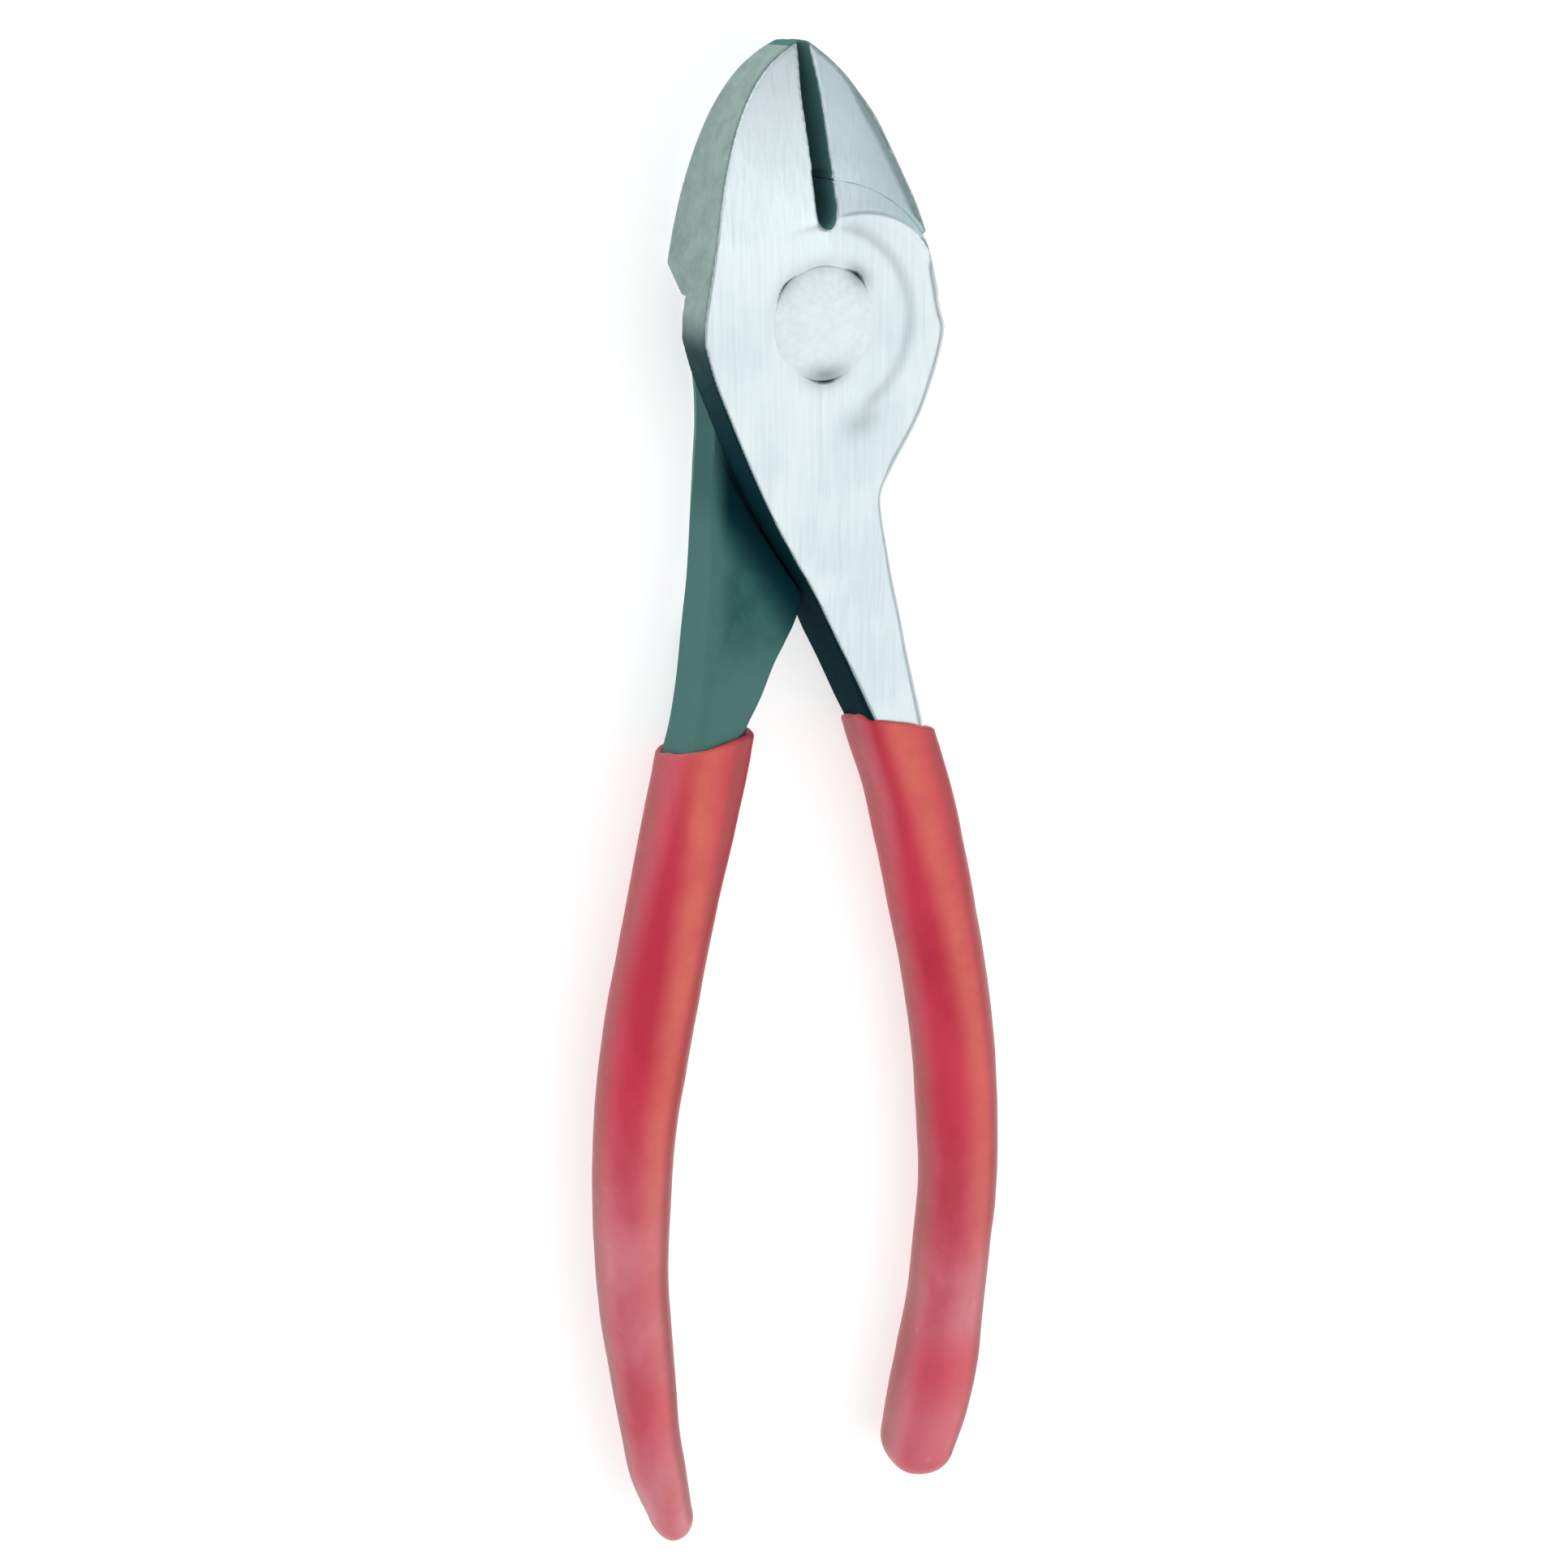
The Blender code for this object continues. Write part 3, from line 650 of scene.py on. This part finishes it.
# ------------------------------------------------------------ materials
class Look:
    """A small builder for one node material."""

    def __init__(self, name):
        self.material = bpy.data.materials.new(name)
        self.material.use_nodes = True
        self.tree = self.material.node_tree
        self.shader = self.tree.nodes["Principled BSDF"]
        self.object = self.add("ShaderNodeTexCoord").outputs["Object"]

    def add(self, kind, **values):
        made = self.tree.nodes.new(kind)
        for key, value in values.items():
            if isinstance(value, bpy.types.NodeSocket):
                self.tree.links.new(value, made.inputs[key])
            elif key in made.inputs:
                made.inputs[key].default_value = value
            else:
                setattr(made, key, value)
        return made

    def to(self, socket, name):
        self.tree.links.new(socket, self.shader.inputs[name])

    def set(self, **values):
        for key, value in values.items():
            self.shader.inputs[key.replace("_", " ")].default_value = value

    def maths(self, operation, a, b=0.0, c=None, clamp=False):
        made = self.tree.nodes.new("ShaderNodeMath")
        made.operation, made.use_clamp = operation, clamp
        for i, value in enumerate((a, b) if c is None else (a, b, c)):
            if isinstance(value, bpy.types.NodeSocket):
                self.tree.links.new(value, made.inputs[i])
            else:
                made.inputs[i].default_value = value
        return made.outputs[0]

    def noise(self, scale, detail=3.0, rough=0.55, stretch=(1, 1, 1), turn=0.0, distortion=0.0):
        mapped = self.add("ShaderNodeMapping", Vector=self.object)
        mapped.inputs["Scale"].default_value = stretch
        mapped.inputs["Rotation"].default_value = (0, 0, turn)
        made = self.add("ShaderNodeTexNoise", Vector=mapped.outputs[0], Scale=scale, Detail=detail, Roughness=rough,
                        Distortion=distortion)
        return made.outputs["Fac"]

    def between(self, value, low, high, start=0.0, end=1.0):
        made = self.add("ShaderNodeMapRange", Value=value)
        made.inputs["From Min"].default_value, made.inputs["From Max"].default_value = low, high
        made.inputs["To Min"].default_value, made.inputs["To Max"].default_value = start, end
        made.interpolation_type = "SMOOTHSTEP"
        return made.outputs[0]

    def mix(self, factor, a, b, blend="MIX"):
        made = self.tree.nodes.new("ShaderNodeMix")
        made.data_type, made.blend_type = "RGBA", blend
        for name, value in ((0, factor), (6, a), (7, b)):
            if isinstance(value, bpy.types.NodeSocket):
                self.tree.links.new(value, made.inputs[name])
            elif name == 0:
                made.inputs[name].default_value = value
            else:
                made.inputs[name].default_value = (*value, 1.0)
        return made.outputs[2]

    def layer(self, name):
        return self.add("ShaderNodeAttribute", attribute_name=name).outputs["Fac"]

    def bumps(self, *pairs):
        """Bumps stacked: (height socket, strength, distance in metres)."""
        normal = None
        for height, strength, distance in pairs:
            made = self.add("ShaderNodeBump", Height=height, Strength=strength, Distance=distance)
            if normal is not None:
                self.tree.links.new(normal, made.inputs["Normal"])
            normal = made.outputs[0]
        self.to(normal, "Normal")


def lever_steel(name, bright, tint, shaded_tone, skin, dark, pale):
    """Ground faces over a forged, blackened skin; the painted layers say where each is. The dark layer is partly that
    skin and partly painted shade; the dim, shadow and jaw layers paint shade, shadow and a highlight into the colour.
    """
    look = Look(name)
    ground, shade = look.layer("ground"), look.layer("dark")
    broad = look.noise(95.0, 3.0, 0.5)
    mottle = look.noise(420.0, 3.0, 0.6)
    grain = look.noise(1500.0, 4.0, 0.65)
    lines = look.noise(3200.0, 2.0, 0.5, stretch=(1.0, 0.035, 1.0), turn=0.18)
    scratch = look.noise(1300.0, 1.0, 0.4, stretch=(1.0, 0.02, 1.0), turn=0.62)
    scratches = look.between(scratch, 0.66, 0.72)
    # edge of the ground area, broken up a little
    edge = look.maths("ADD", ground, look.maths("MULTIPLY", look.maths("SUBTRACT", mottle, 0.5), 0.35))
    ground = look.between(edge, 0.35, 0.65)
    polished = look.mix(look.between(broad, 0.38, 0.64), bright, tint)
    # painted shade: the dim layer darkens the ground face towards a shaded tone
    polished = look.mix(look.maths("MULTIPLY", look.layer("dim"), 0.85), polished, shaded_tone)
    # painted highlight: this layer lightens the ground face where the left jaw should catch more light
    polished = look.mix(look.layer("painted_jaw_light"), polished, tuple(min(v * 1.16, 0.95) for v in bright))
    polished = look.mix(look.between(lines, 0.35, 0.75, 0.0, 0.06), polished, (0.38, 0.43, 0.43))
    polished = look.mix(look.maths("MULTIPLY", scratches, 0.12), polished, (0.34, 0.38, 0.39))
    polished = look.mix(look.layer("mark"), polished, (0.17, 0.21, 0.22))
    forged = look.mix(look.between(mottle, 0.30, 0.70), skin, tuple(v * 0.80 for v in skin))
    # the dark layer: blackened skin, and painted shade in the slot and on the front lever's flank
    black = look.mix(look.between(mottle, 0.30, 0.70), dark, tuple(v * 0.72 for v in dark))
    forged = look.mix(shade, forged, black)
    forged = look.mix(look.layer("pale"), forged, pale)
    # painted shadow: this layer darkens the skin to near black where a shadow falls
    forged = look.mix(look.layer("painted_shadow"), forged, (0.0030, 0.031, 0.044))
    # worn edges of the skin show bright
    worn = look.between(look.add("ShaderNodeNewGeometry").outputs["Pointiness"], 0.53, 0.60, 0.0, 0.55)
    worn = look.maths("MULTIPLY", worn, look.maths("SUBTRACT", 1.0, look.layer("painted_shadow")))
    forged = look.mix(look.maths("MULTIPLY", worn, look.between(grain, 0.35, 0.6)), forged, tuple(min(v * 1.9, 0.8) for v in skin))
    look.to(look.mix(ground, forged, polished), "Base Color")
    rough_ground = look.maths("ADD", look.between(broad, 0.3, 0.7, 0.30, 0.38), look.between(lines, 0.3, 0.7, -0.03, 0.04))
    rough_forged = look.maths("ADD", look.between(grain, 0.3, 0.7, 0.42, 0.54), look.maths("MULTIPLY", shade, 0.38))
    rough = look.add("ShaderNodeMix", data_type="FLOAT")
    look.tree.links.new(ground, rough.inputs[0])
    look.tree.links.new(rough_forged, rough.inputs[2])
    look.tree.links.new(rough_ground, rough.inputs[3])
    look.to(rough.outputs[0], "Roughness")
    off = look.maths("SUBTRACT", 1.0, ground)
    look.to(look.maths("SUBTRACT", 1.0, look.maths("MULTIPLY", shade, off)), "Metallic")
    look.set(Specular_IOR_Level=0.04)
    look.bumps((look.maths("MULTIPLY", lines, ground), 0.19, 0.00002),
               (look.maths("MULTIPLY", grain, off), 0.5, 0.00006),
               (look.maths("MULTIPLY", mottle, look.maths("ADD", 0.25, off)), 0.35, 0.00010))
    return look.material


def rivet_steel():
    look = Look("rivet_steel")
    broad = look.noise(260.0, 3.0, 0.55)
    fine = look.noise(1400.0, 3.0, 0.6)
    mixed = look.mix(look.between(broad, 0.35, 0.65), (0.615, 0.68, 0.69), (0.58, 0.645, 0.655))
    mixed = look.mix(look.layer("mark"), mixed, (0.17, 0.21, 0.22))
    look.to(mixed, "Base Color")
    look.to(look.between(fine, 0.3, 0.7, 0.27, 0.38), "Roughness")
    look.set(Metallic=1.0)
    look.bumps((broad, 0.14, 0.0002), (fine, 0.1, 0.00003))
    return look.material


def vinyl():
    look = Look("grip_vinyl")
    cloud = look.noise(75.0, 4.0, 0.6, stretch=(1.0, 0.55, 1.0))
    blotch = look.noise(210.0, 3.0, 0.6)
    fine = look.noise(900.0, 3.0, 0.6)
    face = look.layer("face")
    red = look.mix(look.between(cloud, 0.35, 0.65), (0.67, 0.029, 0.066), (0.80, 0.052, 0.103))
    # painted highlight: the face layer turns the red orange where the grip's front face would catch the light
    painted_highlight = look.mix(look.between(blotch, 0.3, 0.7), (0.86, 0.165, 0.112), (0.80, 0.120, 0.098))
    red = look.mix(face, red, painted_highlight)
    # paler towards the ends: partly a dusty blooming of the vinyl, partly a painted sheen
    bloom_and_sheen = look.layer("bloom_and_sheen")
    patches = look.between(cloud, 0.34, 0.64, 0.45, 1.0)
    red = look.mix(look.maths("MULTIPLY", bloom_and_sheen, patches), red, (0.87, 0.335, 0.375))
    specks = look.between(look.noise(520.0, 2.0, 0.5), 0.66, 0.74, 0.0, 0.25)
    red = look.mix(look.maths("MULTIPLY", specks, bloom_and_sheen), red, (0.86, 0.48, 0.48))
    # painted shade along both sides of each grip
    red = look.mix(look.layer("painted_edge_shade"), red, (0.26, 0.085, 0.070))
    look.to(red, "Base Color")
    look.to(look.maths("ADD", look.between(cloud, 0.3, 0.7, 0.36, 0.46), look.between(fine, 0.3, 0.7, -0.03, 0.05)), "Roughness")
    look.set(IOR=1.47, Specular_IOR_Level=0.4)
    look.bumps((blotch, 0.35, 0.00025), (fine, 0.25, 0.00004))
    return look.material


def finish_of(name, colour, roughness, metallic):
    made = bpy.data.materials.new(name)
    made.use_nodes = True
    shader = made.node_tree.nodes["Principled BSDF"]
    shader.inputs["Base Color"].default_value = (*colour, 1.0)
    shader.inputs["Roughness"].default_value = roughness
    shader.inputs["Metallic"].default_value = metallic
    return made


# ------------------------------------------------------------ the pieces
def join_tang(lever, handle):
    """The bare handle, joined to the lever by a union."""
    points, faces = tang_surface(handle)
    tang = make_mesh(lever.name + "_tang", points, faces)
    step = lever.modifiers.new("tang", "BOOLEAN")
    step.operation, step.solver, step.object = "UNION", "MANIFOLD", tang
    bpy.context.view_layer.update()
    graph = bpy.context.evaluated_depsgraph_get()
    mesh = bpy.data.meshes.new_from_object(lever.evaluated_get(graph))
    lever.modifiers.clear()
    lever.data = mesh
    bpy.data.objects.remove(tang)
    mesh.shade_smooth()


def turn_from(angle, centre):
    """Degrees between two directions, from -180 to 180."""
    return (angle - centre + 180.0) % 360.0 - 180.0


def seat_marks(x, y):
    """Dark marks in the seat of the rivet and a dark patch below it, and painted shade along the turned ring: 0 to 1.
    """
    radius, angle = np.hypot(x, y), np.degrees(np.arctan2(y, x))
    found = np.zeros(len(x))
    for centre, spread, at, width, depth in (
            (-88.0, 25.0, 5.55, 1.2, 0.80), (50.0, 15.0, 6.15, 1.0, 0.76), (92.0, 16.0, 6.1, 0.7, 0.26),
            (135.0, 24.0, 5.85, 0.75, 0.38), (-67.0, 11.0, 11.7, 1.5, 0.40)):
        found += depth * bump(turn_from(angle, centre), 0.0, spread) * bump(radius, at, width)
    ring = ramp(-70.0, -52.0, angle) * ramp(84.0, 66.0, angle)
    return np.clip(found + 0.32 * ring * bump(radius, RING_R, 0.75), 0.0, 1.0)


def paint_lever(obj, which):
    co, normal = read(obj)
    x, y, z = co.T
    up = np.abs(normal[:, 2])
    ground = ramp(0.72, 0.93, up)
    radius = np.hypot(x, y)
    dark, painted_shadow, pale, painted_jaw_light = (np.zeros(len(co)) for _ in range(4))
    across = np.abs(x - cutting_x(y))
    face = np.where(x > cutting_x(y), face_right(x, y), face_left(y))
    below = np.where(z > 0.0, face - z, jaw_half(y) + z)
    # painted shade: the slot and the bevels beside the cutting edge are darkened, a little less towards the slot's ends
    groove = (across < GROOVE + 0.6) * ramp(0.09, 0.26, below) * ramp(SLOT_LOW - 1.0, SLOT_LOW, y)
    ground = ground * (1.0 - groove)
    dark = np.maximum(dark, groove)
    pale = groove * (0.56 + 0.44 * ramp(17.0, 14.5, y) + 0.44 * ramp(23.5, 27.5, y))
    walls = (radius < SINK_R + 0.45) & (up < 0.85)
    right_jaw = (x > cutting_x(y)) & (y > 3.0)
    away = np.hypot(x - BREAK_X, y - BREAK_Y) - BREAK_R
    outward = ramp(1.5, 11.0, x - 0.10 * (28.0 - y)) * 0.8 + 0.25 * bump(away, 0.9, 0.9)
    # painted shade: the right jaw's face darkens beyond the break circle and towards its outer edge, as its slope turns
    # it from the light
    dim = np.where(right_jaw, ramp(0.05, 0.5, away) * (0.12 + outward), 0.0)
    mark = np.zeros(len(co))
    if which == "front":
        # the flank over the other lever: forged skin above, and below it painted shade, darkened as if in shadow, with
        # a painted shadow further down
        inner = (normal[:, 0] < 0.1) * (x < 16)
        dark = np.maximum(dark, inner * (0.94 * ramp(2.0, -3.0, y) + 0.06 * ramp(-3.0, -12.0, y)))
        painted_shadow = inner * ramp(0.0, -13.0, y) * (1.0 - ground)
        # painted highlight: the left jaw's face is lightened towards the tip
        painted_jaw_light = ramp(3.0, 15.0, y) * (x < cutting_x(y))
        rear = (z < 3.0) & (y < 9.0)
        ground = np.where(rear, ground * (z < -5.0), ground)
        # the free rim and the outer edge are ground over
        rim = ramp(0.05, 0.25, normal[:, 2]) * (normal[:, 0] > -0.2) * (z > 0.0) * (x > 0.33 * np.minimum(-y, 40.0) - 3.5) * (y < 13.0)
        rim = rim * (radius > SINK_R + 0.5) * (across > GROOVE + 0.45)
        ground = np.maximum(ground, rim)
        mark = seat_marks(x, y) * (z > 4.0)
        # painted shade: a little more of it on the front lever past the break circle
        dim = np.where(right_jaw & (away > 0.0), 1.0 - (1.0 - dim) * (1.0 - 0.16 * ramp(0.05, 0.5, away)), dim)
        ground, dark = np.where(walls, 0.5, ground), np.where(walls, 0.4, dark)
    else:
        ground, dark = np.where(walls, 0.0, ground), np.where(walls, 0.8, dark)
        recess = (z < 5.2) & (z > -5.0) & (y < 9)
        ground = np.where(recess, 0.0, ground)
        dark = np.where(recess & (y < 8.0), np.maximum(dark, 1.0), dark)
        ground = np.where((y < -12.0) & (z > -4.0), 0.0, ground)
        # painted shadow: beside the front lever's flank the shank is darkened as if in that lever's shadow; the shank
        # is paler further out and lower down
        wall = smooth(FRONT_INNER)
        beside = np.interp(y, [p[1] for p in wall], [p[0] for p in wall]) - x
        outer = smooth(BACK_OUTER)
        in_from = x - np.interp(y, [p[1] for p in outer][::-1], [p[0] for p in outer][::-1])
        wide = ramp(-24.0, -11.0, y)
        painted_shadow = ramp(6.9 + 2.0 * wide, 1.6 + 2.4 * wide, beside) * (y < 0.0) * (z > -5.0) * (1.0 - ramp(-34.0, -41.0, y) * ramp(1.0, 5.0, beside))
        painted_shadow = painted_shadow * (0.22 + 0.78 * ramp(0.2, 2.2, in_from)) * (0.84 + 0.16 * ramp(-11.0, -17.0, y))
        pale = np.where(y < 0.0, np.maximum(0.85 * ramp(-30.0, -40.0, y), 0.80 * ramp(3.2, 0.2, in_from)) * (1.0 - painted_shadow), pale)
        lip = (np.abs(radius - SHOULDER_R) < 0.5) & right_jaw & (z > face_right(x, y) - 0.5)
        ground = np.where(lip, 1.0, ground)
    if which == "front":
        lip = (np.abs(radius - EAR_R) < 0.5) & right_jaw & (z > face_right(x, y) - 0.5)
        ground = np.where(lip & (across > GROOVE + 0.4), 1.0, ground)
    for name, values in (("ground", ground), ("dark", dark), ("dim", dim), ("painted_shadow", painted_shadow), ("pale", pale), ("mark", mark), ("painted_jaw_light", painted_jaw_light)):
        paint(obj, name, np.clip(values, 0.0, 1.0))


def even_lap(obj):
    """The two jaws' faces run on into each other, so the hairline between them takes the face's normal."""
    co, normal = read(obj)
    x, y, z = co.T
    step = 0.05
    sx = (face_right(x + step, y) - face_right(x - step, y)) / (2 * step)
    sy = (face_right(x, y + step) - face_right(x, y - step)) / (2 * step)
    face = np.column_stack([-sx, -sy, np.ones(len(co))])
    face /= np.linalg.norm(face, axis=1, keepdims=True)
    lip = ((np.abs(np.hypot(x, y) - EAR_R) < 0.45) & (x > cutting_x(y) + GROOVE + 0.3) & (y > 4.0)
           & (z > face_right(x, y) - 0.28) & (np.hypot(x, y) * 0 + x < 13.2))
    normal[lip] = face[lip]
    obj.data.normals_split_custom_set_from_vertices([tuple(n) for n in normal])


def paint_grip(obj, handle):
    """Painted light, shade and blooming on the vinyl: a highlight along its front face, paler bands towards the end
    that are partly dusty blooming and partly painted sheen, and painted shade along both sides.
    """
    co, normal = read(obj)
    length = handle.along[-1]
    spots = np.linspace(0.0, length, 500)
    px, py = handle.at(spots)
    near = np.concatenate([np.argmin((part[:, None, 0] - px) ** 2 + (part[:, None, 1] - py) ** 2, axis=1)
                           for part in np.array_split(co, 40)])
    _, _, nx, ny, w = handle.frame(spots)
    offset = (co[:, 0] - px[near]) * nx[near] + (co[:, 1] - py[near]) * ny[near]
    turned = np.sign(nx[near])
    # from -1 at the left shoulder to 1 at the right one
    q = (0.902 * offset * turned + 0.432 * co[:, 2]) / (w[near] * 1.06)
    y = co[:, 1]
    # paler bands towards each grip's end: partly dusty blooming, partly painted sheen
    if handle.side < 0:
        middle = np.interp(-y, [44, 50, 60, 72, 90, 150], [0.12, 0.22, 0.48, 0.56, 0.60, 0.60])
        strength = np.interp(-y, [44, 75, 100, 120, 150], [0.95, 0.95, 0.75, 0.45, 0.35])
        bloom_and_sheen = 0.50 * ramp(-84.0, -106.0, y) + 0.34 * bump(y, -115.0, 9.0) - 0.26 * bump(y, -129.0, 4.5) + 0.42 * bump(y, -144.0, 8.0)
    else:
        middle = np.interp(-y, [44, 56, 68, 82, 100, 150], [0.26, 0.32, 0.42, 0.56, 0.60, 0.60])
        strength = np.interp(-y, [44, 75, 100, 120, 150], [0.95, 0.85, 0.70, 0.45, 0.35])
        bloom_and_sheen = (0.30 * ramp(-96.0, -114.0, y) + 0.58 * bump(y, -123.0, 5.5) * (0.6 + 0.4 * ramp(-0.3, 0.5, q))
                 - 0.16 * bump(y, -133.0, 4.5) + 0.20 * bump(y, -143.0, 6.0) + 0.30 * ramp(-0.35, -0.75, q) * ramp(-110.0, -135.0, y))
    # painted highlight: a stripe along each grip's front face, strongest near the rim
    left_width = np.interp(-y, [44, 60, 150], [0.42, 0.30, 0.30])
    right_width = np.interp(-y, [44, 60, 150], [0.60, 0.36, 0.34])
    stripe = np.where(q < middle, np.exp(-((q - middle) / left_width) ** 2), np.exp(-((q - middle) / right_width) ** 2))
    # painted shade: darker towards both edges of the grip as seen, a little more lower down
    painted_edge_shade = 0.66 * ramp(-0.48, -0.96, q) + 0.62 * ramp(0.68, 0.95, q)
    painted_edge_shade = painted_edge_shade * (0.80 + 0.20 * ramp(-60.0, -120.0, y))
    paint(obj, "face", np.clip(stripe * strength, 0.0, 1.0))
    paint(obj, "bloom_and_sheen", np.clip(bloom_and_sheen, 0.0, 1.0))
    paint(obj, "painted_edge_shade", np.clip(painted_edge_shade, 0.0, 1.0))


def lights():
    def area(name, at, look_at, size, power, colour=(1, 1, 1)):
        data = bpy.data.lights.new(name, "AREA")
        data.shape, data.size, data.size_y = "RECTANGLE", size[0], size[1]
        data.energy, data.color = power, colour
        obj = bpy.data.objects.new(name, data)
        obj.location = at
        aim = Vector(look_at) - Vector(at)
        obj.rotation_euler = aim.to_track_quat("-Z", "Y").to_euler()
        bpy.context.scene.collection.objects.link(obj)
        return obj

    centre = (0.0, -0.06, 0.0)
    area("key_right", (0.47, -0.26, 0.86), centre, (1.15, 1.5), 5.2, (1.0, 0.99, 0.97))
    area("fill_left", (-0.60, 0.10, 0.45), centre, (0.5, 0.6), 0.5, (0.93, 0.98, 1.0))
    area("top", (-0.15, 0.55, 0.75), centre, (0.6, 0.5), 0.9, (0.97, 1.0, 1.0))

    world = bpy.data.worlds.new("studio")
    bpy.context.scene.world = world
    world.use_nodes = True
    world.node_tree.nodes["Background"].inputs["Color"].default_value = (0.93, 0.98, 1.0, 1.0)
    world.node_tree.nodes["Background"].inputs["Strength"].default_value = 0.42


def floor():
    bpy.ops.mesh.primitive_plane_add(size=4.0, location=(0.0, -0.05, -0.0002))
    obj = bpy.context.object
    obj.name = "floor"
    made = finish_of("floor_white", (0.55, 0.55, 0.55), 0.9, 0.0)
    shader = made.node_tree.nodes["Principled BSDF"]
    shader.inputs["Emission Color"].default_value = (1.0, 1.0, 1.0, 1.0)
    shader.inputs["Emission Strength"].default_value = 0.66
    obj.data.materials.append(made)


def camera():
    data = bpy.data.cameras.new("camera")
    data.lens, data.sensor_width = LENS, 36.0
    data.clip_start, data.clip_end = 0.01, 10.0
    obj = bpy.data.objects.new("camera", data)
    c, s, cp, sp = math.cos(YAW), math.sin(YAW), math.cos(PITCH), math.sin(PITCH)
    right = Vector((c, 0.0, s))
    up = Vector((s * sp, cp, -c * sp))
    back = Vector((-s * cp, sp, c * cp))
    turn = Matrix((right, up, back)).transposed().to_4x4()
    obj.matrix_world = Matrix.Translation(CAMERA_AT) @ turn
    bpy.context.scene.collection.objects.link(obj)
    bpy.context.scene.camera = obj


def main():
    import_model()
    camera()
    lights()
    floor()
    bpy.context.scene.view_settings.view_transform = "Standard"

    right = Handle(1, RIGHT_GRIP, RIGHT_SHIFT, RIGHT_END)
    left = Handle(-1, LEFT_GRIP, LEFT_SHIFT, LEFT_END)

    front = make_mesh("front_lever_steel", *front_field())
    join_tang(front, right)
    paint_lever(front, "front")
    front.data.materials.clear()
    front.data.materials.append(lever_steel(
        "polished_steel", (0.615, 0.685, 0.705), (0.585, 0.66, 0.685), (0.32, 0.43, 0.45), (0.322, 0.430, 0.400),
        (0.022, 0.072, 0.068), (0.11, 0.26, 0.26)))
    even_lap(front)

    back = make_mesh("back_lever_steel", *back_field())
    join_tang(back, left)
    paint_lever(back, "back")
    back.data.materials.clear()
    back.data.materials.append(lever_steel(
        "forged_steel", (0.60, 0.71, 0.73), (0.56, 0.67, 0.70), (0.32, 0.43, 0.45), (0.28, 0.37, 0.36),
        (0.050, 0.165, 0.158), (0.105, 0.235, 0.215)))
    even_lap(back)

    pin = make_mesh("rivet_head_and_shank", *rivet_surface())
    pin.data.set_sharp_from_angle(angle=math.radians(50))
    co, _ = read(pin)
    paint(pin, "mark", seat_marks(co[:, 0], co[:, 1]) * (co[:, 2] > 4.0))
    pin.data.materials.append(rivet_steel())

    vinyl_look = vinyl()
    skins = []
    for name, handle, seed in (("right_grip_vinyl", right, 3), ("left_grip_vinyl", left, 8)):
        skin = make_mesh(name, *grip_surface(handle, seed))
        paint_grip(skin, handle)
        skin.data.materials.append(vinyl_look)
        skins.append(skin)

    for piece, body, node, slot in (
            (front, "front_half", "front_lever", "polished_steel"),
            (back, "back_half", "back_lever", "forged_steel"),
            (pin, "front_half", "pivot_rivet", "rivet_steel"),
            (skins[0], "front_half", "right_grip", "grip_vinyl"),
            (skins[1], "back_half", "left_grip", "grip_vinyl")):
        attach(piece, body)
        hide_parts(node)


main()
